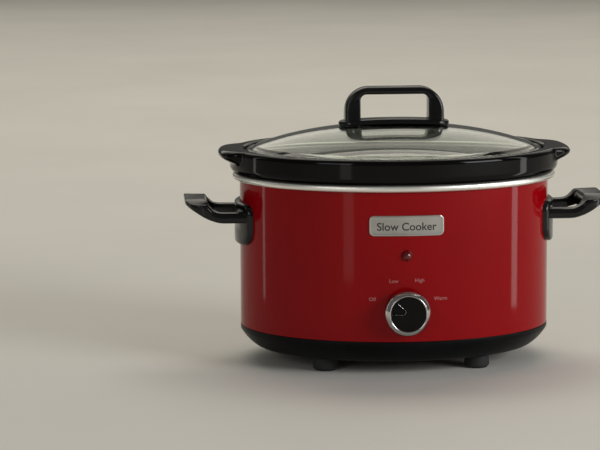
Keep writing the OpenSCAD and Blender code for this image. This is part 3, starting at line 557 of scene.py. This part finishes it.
points, faces, rows = [], [], []
for a, z, reach in profile:
    rows.append(len(points))
    if a == 0:
        points.append((0, 0, z))
        continue
    for t, pull in reach_plan:
        points.append((a * math.cos(t) + reach * pull[0], a * RATIO * math.sin(t) + reach * pull[1], z))
around = len(reach_plan)
for j in range(len(rows) - 1):
    for i in range(around):
        k = (i + 1) % around
        if profile[j][0] == 0:
            faces.append([rows[j], rows[j + 1] + k, rows[j + 1] + i])
        elif profile[j + 1][0] == 0:
            faces.append([rows[j] + i, rows[j] + k, rows[j + 1]])
        else:
            faces.append([rows[j] + i, rows[j] + k, rows[j + 1] + k, rows[j + 1] + i])
crock = make("stoneware_crock", points, faces)
dress(crock, GLAZE, "crock_glaze", "crock", "crock")

# %% [markdown]
# ## Lid glass
# A dome of pressed glass, four millimetres thick, with a flat flange and a fire-polished round edge.
# The curve is steep near the edge and nearly flat on top, which one formula gives. The rings are set
# closer together towards the edge, where the curve is tightest. Both faces of the sheet are drawn,
# because light has to pass through two faces to look as it does in glass.
# %% Make the lid glass
LID_A = 130
GLASS_T = 4
EDGE_ROUND = GLASS_T / 2
DOME_CURVE, DOME_FOOT_CURVE = 2.4, 0.95
DOME_RINGS = 26
dome_a = 121.5
flange_a = 122.5
lid_edge = LID_LOW.z
dome_foot = lid_edge + GLASS_T - 0.8
dome_rise = LID_HIGH.z - dome_foot


def dome_z(a):
    """Height of the dome's upper face."""
    return dome_foot + dome_rise * max(0, 1 - (a / LID_A) ** DOME_CURVE) ** DOME_FOOT_CURVE


steps = [dome_a * math.sin(math.pi / 2 * i / DOME_RINGS) for i in range(DOME_RINGS + 1)]
round_a = LID_A - EDGE_ROUND
glass = turn_oval("domed_glass", [(0, dome_z(0) - GLASS_T)]
                  + [(a, dome_z(a) - GLASS_T) for a in steps[1:]]
                  + ease([(flange_a, dome_z(flange_a) - GLASS_T), (flange_a + 2, lid_edge, 2.0),
                          (round_a, lid_edge)], steps=4)[1:]
                  + arc(round_a, lid_edge + EDGE_ROUND, EDGE_ROUND, -80, 80, 8)
                  + ease([(round_a, lid_edge + GLASS_T), (LID_A - 4.5, lid_edge + 3.9, 3),
                          (dome_a, dome_z(dome_a))], steps=4)[:-1]
                  + [(a, dome_z(a)) for a in reversed(steps[1:])] + [(0, dome_z(0))],
                  closed=False, crease=60)
dress(glass, GLASS, "lid_glass", "lid", "lid_glass")

# %% [markdown]
# ## Lid handle loop
# A loop of moulded plastic on an arched foot plate. The loop is lofted: each rib is a rounded
# rectangle between an outer and an inner line, and the ribs follow the legs up, round the broad
# shoulders and along the bar. A bent tube would be quicker, but its section would keep its
# proportions all the way, and this one is deeper at the foot than at the bar.
# %% Make the loop
BAR_TOP = span("lid_handle")[1].z
BAR_UNDER = BAR_TOP - 6.4
PLATE_TOP = 211.8
PLATE_BEND = 593
PLATE_HALF = 48.7
LEG_OUT, LEG_IN = 43.5, 30
FOOT_DEPTH, BAR_DEPTH = 10.5, 8.5
LEG_STEPS, SHOULDER_STEPS, BAR_STEPS = 8, 16, 4
NARROW_RIBS = 12


def rounded_section(width, height, radii, steps=5):
    """A rounded rectangle, stretched to a square from -1 to 1; radii run round from lower left."""
    w, h = width / 2, height / 2
    corners = [(-w, -h, radii[0]), (w, -h, radii[1]), (w, h, radii[2]), (-w, h, radii[3])]
    return [(u / w, v / h) for u, v in ease(corners, closed=True, steps=steps)]


foot_z = PLATE_TOP - 3
shoulder_w, shoulder_h, inner_r = 21, 22, 5.5
stations = []
for i in range(LEG_STEPS):
    t = i / LEG_STEPS
    stations.append(((LEG_OUT, foot_z + (BAR_TOP - shoulder_h - foot_z) * t),
                     (LEG_IN, foot_z + (BAR_UNDER - inner_r - foot_z) * t)))
for i in range(SHOULDER_STEPS + 1):
    t = math.radians(90 * i / SHOULDER_STEPS)
    stations.append(((LEG_OUT - shoulder_w * (1 - math.cos(t)), BAR_TOP - shoulder_h * (1 - math.sin(t))),
                     (LEG_IN - inner_r * (1 - math.cos(t)), BAR_UNDER - inner_r * (1 - math.sin(t)))))
for i in range(1, BAR_STEPS + 1):
    share = 1 - i / BAR_STEPS
    stations.append((((LEG_OUT - shoulder_w) * share, BAR_TOP), ((LEG_IN - inner_r) * share, BAR_UNDER)))
stations += [((-o[0], o[1]), (-n[0], n[1])) for o, n in reversed(stations[:-1])]
loop_ribs = []
for i, (o, n) in enumerate(stations):
    along = min(i, len(stations) - 1 - i) / NARROW_RIBS
    half_depth = FOOT_DEPTH - (FOOT_DEPTH - BAR_DEPTH) * min(1, along)
    o, n = Vector(o), Vector(n)
    rib = []
    for u, v in rounded_section((o - n).length, 2 * half_depth, (1.6, 2.8, 2.8, 1.6), 4):
        spot = (o + n) / 2 + (o - n) / 2 * u
        rib.append((spot.x, half_depth * v, spot.y))
    loop_ribs.append(rib)
loop = loft("lid_loop", loop_ribs)

# %% [markdown]
# ## Lid handle foot plate
# The loop ends in a long plate with round ends that follows the dome. It is lofted from its lower
# edge up to its top: each rib is the same long outline, a little smaller and a little higher than the
# last, bent to the arch. At the ends the plate is thicker, for the two screws. The plate runs
# through the loop's feet, as it does in one moulding, so the two are joined into one piece.
# %% Make the foot plate
END_R = 12
BOSS_START = 40
BOSS_SWELL = 0.6
plate_ribs = []
for inset, drop in ((2.2, 4.5), (0.6, 4.35), (0.0, 3.5), (0.0, 1.6), (0.35, 0.7), (1.2, 0.1), (2.4, 0.0),
                    (8.0, 0.0), (11.5, 0.0)):
    reach = PLATE_HALF - END_R
    rim = arc(reach, 0, END_R - inset, -90, 90, 24) + arc(-reach, 0, END_R - inset, 90, 270, 24)
    rim = [tuple(p) for p in spaced(rim + rim[:1], 121)[:-1]]
    rib = []
    for x, y in rim:
        swell = BOSS_SWELL * smooth((abs(x) - BOSS_START) / (PLATE_HALF - BOSS_START))
        swell *= 0.3 if drop < 2 else -1
        rib.append((x, y, PLATE_TOP - drop - x * x / (2 * PLATE_BEND) + swell))
    plate_ribs.append(rib)
plate = loft("lid_plate", plate_ribs)
handle = join("lid_handle_moulding", loop, plate)
dress(handle, GLOSS_BLACK, "handle_plastic", "lid", "lid_handle")

# %% [markdown]
# ## Side handles
# Each handle is one moulding: a pad that lies on the wrap, two level arms, and a broad grip that
# sweeps up at the tip so that fingers don't slide off. It could be carved from a block, but the
# soft change from arm to grip is easier as a loft: each rib lies between an outer and an inner line
# seen from above, and its underside and topside follow two lines seen from the front.
# %% Handle drawings
TIP = span("right_handle")[1].x
ARM_HALF = 37.5
ARM_LOW, ARM_HIGH = 125.4, 134.3
PAD_LOW, PAD_HIGH, PAD_HALF = 104.8, 141, 38.8
PAD_T = 4.8

# Distance back from the tip, and how far that line has risen above the arm.
UNDERSIDE = [(60, 0), (34, 0), (29, 0.4), (25.3, 1.4), (20.8, 3.1), (16.6, 5.2), (12.3, 7.7), (8, 10.4),
             (3.8, 13.0), (1.6, 14.6), (0, 15.6)]
TOPSIDE = [(60, 0), (33, 0), (29.4, 0.3), (26.6, 1.1), (23.6, 3.1), (21.4, 5.9), (19.7, 8.6),
           (18.6, 9.8), (17.0, 10.35), (14, 10.5), (3.0, 10.6), (0, 10.4)]


def rise(line, back):
    """How far a line of the side view has risen at a distance back from the tip."""
    for (b1, h1), (b2, h2) in zip(line, line[1:]):
        if b1 >= back >= b2:
            return h1 + (h2 - h1) * (b1 - back) / (b1 - b2)
    return line[-1][1]


def wrap_x(y, out=0.0):
    """Half-width of the wrap at y, or of a line that stands off it by `out`."""
    a = BODY_A + out
    return a * math.sqrt(1 - (y / (a * RATIO)) ** 2)


LOOP_COUNT = 120
HOLE_HALF = ARM_HALF - 12.5
HOLE_END = TIP - 19.5
OUTER_CORNER, HOLE_CORNER = 17, 9
root = wrap_x(ARM_HALF) - 0.5
hole_root = wrap_x(HOLE_HALF) - 0.5


def plan_line(start, half, end, corner):
    """One line of the loop seen from above: out along an arm, across the grip, and back."""
    return spaced(ease([(start, -half), (end, -half, corner), (end, half, corner), (start, half)],
                       steps=16), LOOP_COUNT)


outer_plan = plan_line(root, ARM_HALF, TIP, OUTER_CORNER)
inner_plan = plan_line(hole_root, HOLE_HALF, HOLE_END, HOLE_CORNER)
print("handle stands out", round(TIP - BODY_A, 1), "mm")

# %% [markdown]
# ## Side handles, right and left
# The two handles are mirror images, so one maker does both, and `sign` says which side. An arm is
# rounder on its outside and the grip is rounder on its inside, so the corner radii change with the
# distance out. The grip's crest is a little lower at its two corners than in its middle. A mirrored
# rib runs the other way round, so it is turned about, or its faces would look inwards.
# %% Make the side handles
GRIP_START, GRIP_BLEND = 158, 14
CREST_FLAT, CREST_BLEND = 19, 17
CREST_DROP = 0.24


def side_handle(name, sign, node):
    """Bow and pad of one handle; sign is 1 for the right and -1 for the left."""
    ribs = []
    for outer_point, inner_point in zip(outer_plan, inner_plan):
        middle = (outer_point + inner_point) / 2
        reach = (outer_point - inner_point) / 2
        grip = min(1, max(0, (middle.x - GRIP_START) / GRIP_BLEND))
        radii = (1.2 + 0.6 * grip, 2.6 - 1.2 * grip, 3.8 - 2.2 * grip, 1.4 + 1.4 * grip)
        height = ARM_HIGH - ARM_LOW + rise(TOPSIDE, TIP - middle.x) - rise(UNDERSIDE, TIP - middle.x)
        rib = []
        for u, v in rounded_section(2 * reach.length, height, radii):
            spot = middle + reach * u
            low = ARM_LOW + rise(UNDERSIDE, TIP - spot.x)
            crest = 1 - CREST_DROP * smooth((abs(spot.y) - CREST_FLAT) / CREST_BLEND)
            high = ARM_HIGH + rise(TOPSIDE, TIP - spot.x) * crest
            rib.append((sign * spot.x, spot.y, (low + high) / 2 + (high - low) / 2 * v))
        ribs.append(rib if sign > 0 else rib[::-1])
    bow = loft(name + "_bow", ribs)
    pad_ribs = []
    for inset, lift in ((0.0, 0.25), (0.0, PAD_T - 1.9), (0.25, PAD_T - 1.0), (0.9, PAD_T - 0.3),
                        (1.9, PAD_T), (6.0, PAD_T), (12.0, PAD_T), (17.0, PAD_T)):
        half, low, high = PAD_HALF - inset, PAD_LOW + inset, PAD_HIGH - inset
        big, small = max(14 - inset, 0.6), max(9 - inset, 0.6)
        rim = ease([(-half, low, big), (half, low, big), (half, high, small), (-half, high, small)],
                   closed=True, steps=10)
        rim = spaced(rim + rim[:1], 161)[:-1]
        rib = [(sign * wrap_x(p.x, lift), p.x, p.y) for p in rim]
        pad_ribs.append(rib if sign > 0 else rib[::-1])
    pad = loft(name + "_pad", pad_ribs[::-1])
    moulding = join(name, bow, pad)
    dress(moulding, GLOSS_BLACK, "handle_plastic", "base", node)


side_handle("right_grip", 1, "right_handle")
side_handle("left_grip", -1, "left_handle")

# %% [markdown]
# ## Knob ring
# A chrome ring with a wide bevel goes round the knob's black face and turns with it. The bevel is what
# catches the light, as a bright crescent. The ring is a section turned about an upright axis, which is
# easy to draw, and then the finished piece is tipped over to face the user.
# %% Make the ring
RING_LOW, RING_HIGH = span("knob_ring")
KNOB_R = (RING_HIGH.x - RING_LOW.x) / 2
KNOB_Z = (RING_LOW.z + RING_HIGH.z) / 2
KNOB_OUT = FRONT_Y - RING_LOW.y
CORE = KNOB_R - 4.5


def stand_on_front(piece, z):
    """Turns a piece made upright so that it faces the user, with its foot on the wrap's front."""
    piece.rotation_euler = (math.pi / 2, 0, 0)
    piece.location = Vector((0, FRONT_Y, z)) * MM
    bpy.context.view_layer.update()
    piece.data.transform(piece.matrix_world)
    piece.matrix_world.identity()
    piece.rotation_euler = (0, 0, 0)
    piece.location = (0, 0, 0)


ring = turn("chrome_ring", ease([
    (CORE + 0.1, 1.0), (KNOB_R - 0.3, 0.8, 0.4), (KNOB_R, KNOB_OUT - 5.4, 1.2),
    (KNOB_R - 0.7, KNOB_OUT - 4.2, 1.0), (CORE + 1.0, KNOB_OUT, 0.7), (CORE + 0.1, KNOB_OUT - 0.9, 0.3),
    (CORE + 0.1, 3)], closed=True, steps=5), segments=160)
stand_on_front(ring, KNOB_Z)
dress(ring, CHROME, "knob_chrome", "knob", "knob_ring")

# %% [markdown]
# ## Knob face
# A wedge is sunk into the black face, narrow near the middle and open at the ring: the pointer. It has
# a fine raised lip, which is plated like the ring. Cutting the wedge out with a boolean would leave
# long thin faces and hard edges. So the face is a fine round grid whose points sink where they are
# inside the wedge and rise at its lip, and the faces on the lip get the second material. Behind the
# face the disc is solid: the hollow for the switch's neck can't be seen.
# %% Make the face
FACE = KNOB_OUT - 0.8
FACE_CROWN = 0.35
OFF_ANGLE = math.radians(157.5)
POINTER_START, POINTER_HALF = 5.4, 2.1
POINTER_SPREAD = 0.36
POINTER_SQUARE = 0.94    # turns a distance across the pointer into one square to its slanting side
POINTER_DEEP = 1.3
POINTER_WALL = 0.5
LIP_AT, LIP_HALF, LIP_HIGH = 0.45, 0.6, 0.7
BRIGHT_AT, BRIGHT_HALF = 0.35, 0.27


def pointer_distance(x, y):
    """Distance from the pointer's outline; negative inside it."""
    along = x * math.cos(OFF_ANGLE) + y * math.sin(OFF_ANGLE)
    across = -x * math.sin(OFF_ANGLE) + y * math.cos(OFF_ANGLE)
    beyond = along - POINTER_START
    if beyond < 0:
        return math.hypot(beyond, across) - POINTER_HALF
    return (abs(across) - POINTER_HALF - POINTER_SPREAD * beyond) * POINTER_SQUARE


def pointer_depth(x, y):
    """How far the face is sunk at a point; the pointer has a raised lip."""
    distance = pointer_distance(x, y)
    wall = min(1, max(0, 0.5 - distance / POINTER_WALL))
    ridge = max(0, 1 - abs(distance - LIP_AT) / LIP_HALF)
    return POINTER_DEEP * wall - LIP_HIGH * ridge


rings_count, spokes = 64, 256
points = [(0, 0, FACE)]
for j in range(1, rings_count + 1):
    r = (CORE + 0.05) * j / rings_count
    for i in range(spokes):
        t = TAU * i / spokes
        x, y = r * math.cos(t), r * math.sin(t)
        crown = FACE_CROWN * (1 - (r / CORE) ** 2)
        points.append((x, y, FACE - FACE_CROWN + crown - pointer_depth(x, y)))
edge = points[-spokes:]
points += [(x, y, z - 0.6) for x, y, z in edge]
points += [(x, y, 1.2) for x, y, z in edge]
faces = [[0, 1 + i, 1 + (i + 1) % spokes] for i in range(spokes)]
for j in range(rings_count + 1):
    low = 1 + j * spokes
    for i in range(spokes):
        k = (i + 1) % spokes
        faces.append([low + i, low + spokes + i, low + spokes + k, low + k])
faces.append([len(points) - 1 - i for i in range(spokes)])
face = make("knob_face", points, faces, crease=50)
lip = []
for polygon in face.data.polygons:
    spot = polygon.center / MM
    from_lip = abs(pointer_distance(spot.x, spot.y) - BRIGHT_AT)
    lip.append(spot.z > FACE - 1 and from_lip < BRIGHT_HALF)
stand_on_front(face, KNOB_Z)
dress(face, KNOB_BLACK, "knob_plastic", "knob", "knob_body")
face.data.materials.append(CHROME)
for polygon, bright in zip(face.data.polygons, lip):
    polygon.material_index = int(bright)

# %% [markdown]
# ## Lamp
# The neon shines through a small red jewel, which looks dark while the cooker is off. It is cut like a
# stone, in rings of eight facets, each ring turned by half a facet from the last. Few points and
# flat shading do that best: smooth shading would make it a plain red button. A short neck goes
# through the wrap behind it.
# %% Make the jewel
LAMP_LOW, LAMP_HIGH = span("lamp_lens")
LAMP_Z = (LAMP_LOW.z + LAMP_HIGH.z) / 2
FACETS = 8
NECK_R, NECK_BORE, NECK_DEEP = 3.9, 2.7, 5.6
JEWEL_FOOT = 0.15

# Radius, height and twist of each ring of corners; the twist is counted in facets.
cut_rings = [(4.75, JEWEL_FOOT, 0), (4.75, 0.9, 0), (4.1, 1.9, 0.5), (2.6, 2.9, 0), (1.5, 3.35, 0.5)]
jewel_ribs = []
for radius, height, twist in cut_rings:
    turns = [TAU * (i + twist) / FACETS for i in range(FACETS)]
    jewel_ribs.append([(radius * math.cos(t), radius * math.sin(t), height) for t in turns])
jewel = loft("lamp_jewel", jewel_ribs)
jewel.data.shade_flat()
neck = turn("lamp_neck", [(NECK_BORE, -NECK_DEEP), (NECK_R, -NECK_DEEP), (NECK_R, JEWEL_FOOT),
                          (NECK_BORE, JEWEL_FOOT)], segments=48)
lamp = join("lamp_jewel", jewel, neck)
stand_on_front(lamp, LAMP_Z)
dress(lamp, JEWEL, "lens_red", "base", "lamp_lens")

# %% [markdown]
# ## Badge plate
# A small brushed plate, bent to the wrap, with a fine raised border. It is lofted from its edge
# inwards: each rib is a smaller rounded rectangle, laid on the curve of the wrap at its own height.
# As every point is put straight on the curve, nothing has to be bent afterwards.
# %% Make the badge
BADGE_LOW, BADGE_HIGH = span("badge_plate")
BADGE_CORNER = 4
badge_half_w = BADGE_HIGH.x - 0.8
badge_half_h = 8.7
badge_z = BADGE_LOW.z + 0.2 + badge_half_h


def front_y(x, out):
    """Where the wrap's front is at x, or a line that stands off it by `out`."""
    a = BODY_A + out
    return -a * RATIO * math.sqrt(1 - (x / a) ** 2)


badge_ribs = []
for inset, out in ((0.1, 0.1), (0.0, 0.9), (0.3, 1.25), (0.9, 1.3), (1.3, 1.3), (1.5, 1.05),
                   (1.9, 1.0), (5.0, 1.0), (9.0, 1.0)):
    w, h = badge_half_w - inset, badge_half_h - inset
    r = max(BADGE_CORNER - inset, 0.4)
    corners = ease([(-w, -h, r), (w, -h, r), (w, h, r), (-w, h, r)], closed=True, steps=6)
    rim = spaced(corners + corners[:1], 181)[:-1]
    badge_ribs.append([(p.x, front_y(p.x, out), badge_z + p.y) for p in rim])
badge = loft("badge", badge_ribs)
dress(badge, BADGE_STEEL, "badge_metal", "base", "badge_plate")

# %% [markdown]
# ## Printed words
# The heat settings are printed on the enamel round the knob in a pale ink, and the badge says what
# the thing is in a dark one. They are plain words in Blender's own font. Each is turned into a mesh
# and laid on the curve of the wrap, a hair in front of what it is printed on. Letters made this way
# stay sharp when you come close, which an image texture would not.
# %% Print the words
FONT_RISE = 0.7    # height of a capital, as a share of the font's size
INK_OUT = 0.04
BADGE_INK_OUT = 1.06


def printed(name, word, x, z, height, weight, out, ink):
    """A word on the front, its middle at (x, z) and its face `out` millimetres off the wrap."""
    curve = bpy.data.curves.new(name, "FONT")
    curve.body = word
    curve.size = height / FONT_RISE
    curve.offset = weight
    curve.resolution_u = 6
    text = bpy.data.objects.new(name, curve)
    bpy.context.scene.collection.objects.link(text)
    bpy.context.view_layer.update()
    flat = bpy.data.meshes.new_from_object(text)
    bpy.data.objects.remove(text)
    across = [v.co.x for v in flat.vertices]
    upright = [v.co.y for v in flat.vertices]
    shift_x = x - (min(across) + max(across)) / 2
    shift_z = z - (min(upright) + max(upright)) / 2
    for vertex in flat.vertices:
        u, v = vertex.co.x + shift_x, vertex.co.y + shift_z
        vertex.co = Vector((u, front_y(u, out), v)) * MM
    label = bpy.data.objects.new(name, flat)
    bpy.context.scene.collection.objects.link(label)
    label.data.materials.append(ink)
    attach(label, "base")


for word, x, above in (("Off", -29, 10.7), ("Low", -11, 26.3), ("High", 11, 26.3), ("Warm", 29, 10.7)):
    printed("print_" + word.lower(), word, x, KNOB_Z + above, 3.1, 0, INK_OUT, PALE_PRINT)
printed("print_badge", "Slow Cooker", 0, badge_z - 0.6, 6.6, 0.13, BADGE_INK_OUT, DARK_PRINT)
print("words printed")

# %% [markdown]
# ## Finishes for the inside pieces
# Nobody sees the inside until the cooker is taken apart, so plain finishes will do: plated steel,
# brass, ceramic, mica cloth, and silicone on the wires. They still differ in colour, gloss and grain,
# so that one can be told from another when the parts are laid out.
# %% Mix the inside finishes
PLATED = finish("plated_steel", (0.60, 0.60, 0.60), metallic=1.0, gloss=(0.25, 0.38), patch=90,
                grain=500, depth=0.01, shade=0.08)
SPRING = finish("spring_wire", (0.42, 0.42, 0.43), metallic=1.0, gloss=(0.2, 0.35), patch=120,
                grain=600, depth=0.01, shade=0.15)
BRASS = finish("stamped_brass", (0.72, 0.50, 0.20), metallic=1.0, gloss=(0.25, 0.4), patch=90,
               grain=500, depth=0.01, shade=0.12)
MICA = finish("mica_cloth", (0.42, 0.38, 0.30), gloss=(0.7, 0.85), patch=120, grain=900, depth=0.15,
              stretch=(1, 1, 0.3), shade=0.2)
SLEEVE = finish("glass_braid", (0.75, 0.73, 0.68), gloss=(0.7, 0.85), patch=200, grain=1500,
                depth=0.1, shade=0.1)
CERAMIC = finish("bare_ceramic", (0.74, 0.71, 0.64), gloss=(0.5, 0.65), patch=60, grain=700,
                 depth=0.03, shade=0.07)
IVORY = finish("ivory_plastic", (0.66, 0.62, 0.52), gloss=(0.35, 0.5), patch=50, grain=900,
               depth=0.02, shade=0.06)
TAN = finish("resistor_coat", (0.45, 0.32, 0.20), gloss=(0.35, 0.5), patch=90, grain=900,
             depth=0.02, shade=0.1)
NEON = finish("neon_bulb", (0.95, 0.72, 0.55), gloss=(0.02, 0.06), patch=90, shade=0.05,
              Transmission_Weight=0.9, IOR=1.45)


def sleeve_colour(name, colour):
    """Silicone for a wire, in the wire's colour."""
    return finish(name, colour, gloss=(0.4, 0.55), patch=120, grain=900, depth=0.02, shade=0.1)


BROWN = sleeve_colour("brown_silicone", (0.16, 0.06, 0.025))
BLUE = sleeve_colour("blue_silicone", (0.03, 0.10, 0.36))
GREEN = sleeve_colour("green_silicone", (0.20, 0.34, 0.04))
WHITE = sleeve_colour("white_silicone", (0.72, 0.72, 0.69))

# %% [markdown]
# ## Inside pieces
# The pieces inside keep the shapes of the working model: a nut is a nut. So nothing is made here. The
# model's own list says what each piece is made of, and that word picks its finish from a table.
# %% Dress the inside pieces
BY_SLOT = {
    "plated_steel": PLATED, "spring_steel": SPRING, "brass_parts": BRASS, "band_mica": MICA,
    "glass_sleeve": SLEEVE, "block_ceramic": CERAMIC, "switch_plastic": IVORY,
    "resistor_body": TAN, "neon_glass": NEON, "wire_brown": BROWN, "wire_blue": BLUE,
    "wire_green": GREEN, "wire_white": WHITE, "gland_plastic": SATIN_BLACK, "foot_rubber": RUBBER,
}
dressed = 0
for part in frame["record"]["subparts"]:
    material = BY_SLOT.get(part["material_slot"])
    piece = NODES[part["node"]]
    if material and not piece.hide_render:
        piece.data.materials.clear()
        piece.data.materials.append(material)
        dressed += 1
print("inside pieces dressed:", dressed)

# %% [markdown]
# ## Floor
# A pale, dull floor that runs back much further than the cooker is wide, so that its far edge is soft
# and out of the way. It takes the cooker's shadow and gives a little light back to the underside.
# %% Lay the floor
FLOOR_HALF = 8000
floor_material = finish("pale_floor", (0.80, 0.78, 0.73), gloss=(0.8, 0.86), patch=3, grain=300,
                        depth=0.01, shade=0.03)
floor = make("floor", [(-FLOOR_HALF, -FLOOR_HALF, 0), (FLOOR_HALF, -FLOOR_HALF, 0),
                       (FLOOR_HALF, FLOOR_HALF, 0), (-FLOOR_HALF, FLOOR_HALF, 0)], [[0, 1, 2, 3]])
floor.data.materials.append(floor_material)
print("floor", 2 * FLOOR_HALF * MM, "m square")

# %% [markdown]
# ## Lamps
# Shiny pieces show what is round them, so every lamp is placed for its reflection. Two square ones
# stand for windows, the stronger on the right. A wide one behind and one above are the sky:
# they light the dome, the rim and the floor. The three strips are tall and thin and stand close to the
# wrap, because an oval body turns each of them into one upright line of light. Light linking keeps
# the strips off the floor, where they would leave hot spots: the floor joins a receiver collection
# and is excluded there.
# %% Set the lamps
def soft_lamp(name, place, aim, size, power, colour=(1, 1, 1)):
    """A rectangle of light at `place`, turned to `aim`; lengths in metres, power in watts."""
    lamp_data = bpy.data.lights.new(name, "AREA")
    lamp_data.shape = "RECTANGLE"
    lamp_data.size, lamp_data.size_y = size
    lamp_data.energy = power
    lamp_data.color = colour
    lamp_object = bpy.data.objects.new(name, lamp_data)
    lamp_object.location = place
    lamp_object.rotation_mode = "QUATERNION"
    lamp_object.rotation_quaternion = (Vector(aim) - Vector(place)).to_track_quat("-Z", "Y")
    bpy.context.scene.collection.objects.link(lamp_object)
    return lamp_object


WARM = (1.0, 0.95, 0.83)
soft_lamp("room_right", (1.9, -1.5, 0.9), (0, 0, 0.12), (1.1, 1.0), 30)
soft_lamp("room_left", (-1.4, -2.0, 0.9), (0, 0, 0.12), (0.9, 0.9), 6)
soft_lamp("sky_back", (0.7, 4.2, 2.6), (0, 0, 0.15), (7.0, 3.2), 50, WARM)
soft_lamp("sky_top", (0.0, 1.6, 3.2), (0, 1.2, 0.0), (3.5, 1.6), 44, WARM)
strips = [soft_lamp("strip_left", (-0.42, 0.02, 0.215), (0, 0, 0.2), (0.02, 0.42), 0.055),
          soft_lamp("strip_front", (-0.26, -0.50, 0.215), (0, 0, 0.2), (0.06, 0.42), 0.07, WARM),
          soft_lamp("strip_right", (0.36, -0.10, 0.215), (0, 0, 0.2), (0.035, 0.42), 0.18)]

shaded = bpy.data.collections.new("shaded_from_strips")
shaded.objects.link(floor)
for strip in strips:
    strip.light_linking.receiver_collection = shaded
for link in shaded.collection_objects:
    link.light_linking.link_state = "EXCLUDE"

print("lamps:", len(bpy.data.lights))

# %% [markdown]
# ## Room light
# Beyond the lamps there is a dim, even, slightly warm light from all round. It stands for the rest of
# a room, and keeps the black pieces from going flat where no lamp reaches.
# %% Light the room
ROOM_COLOUR = (0.60, 0.59, 0.55, 1)
ROOM_STRENGTH = 0.18
world = bpy.data.worlds.new("studio")
bpy.context.scene.world = world
world.use_nodes = True
background = world.node_tree.nodes["Background"]
background.inputs["Color"].default_value = ROOM_COLOUR
background.inputs["Strength"].default_value = ROOM_STRENGTH
print("studio lit")
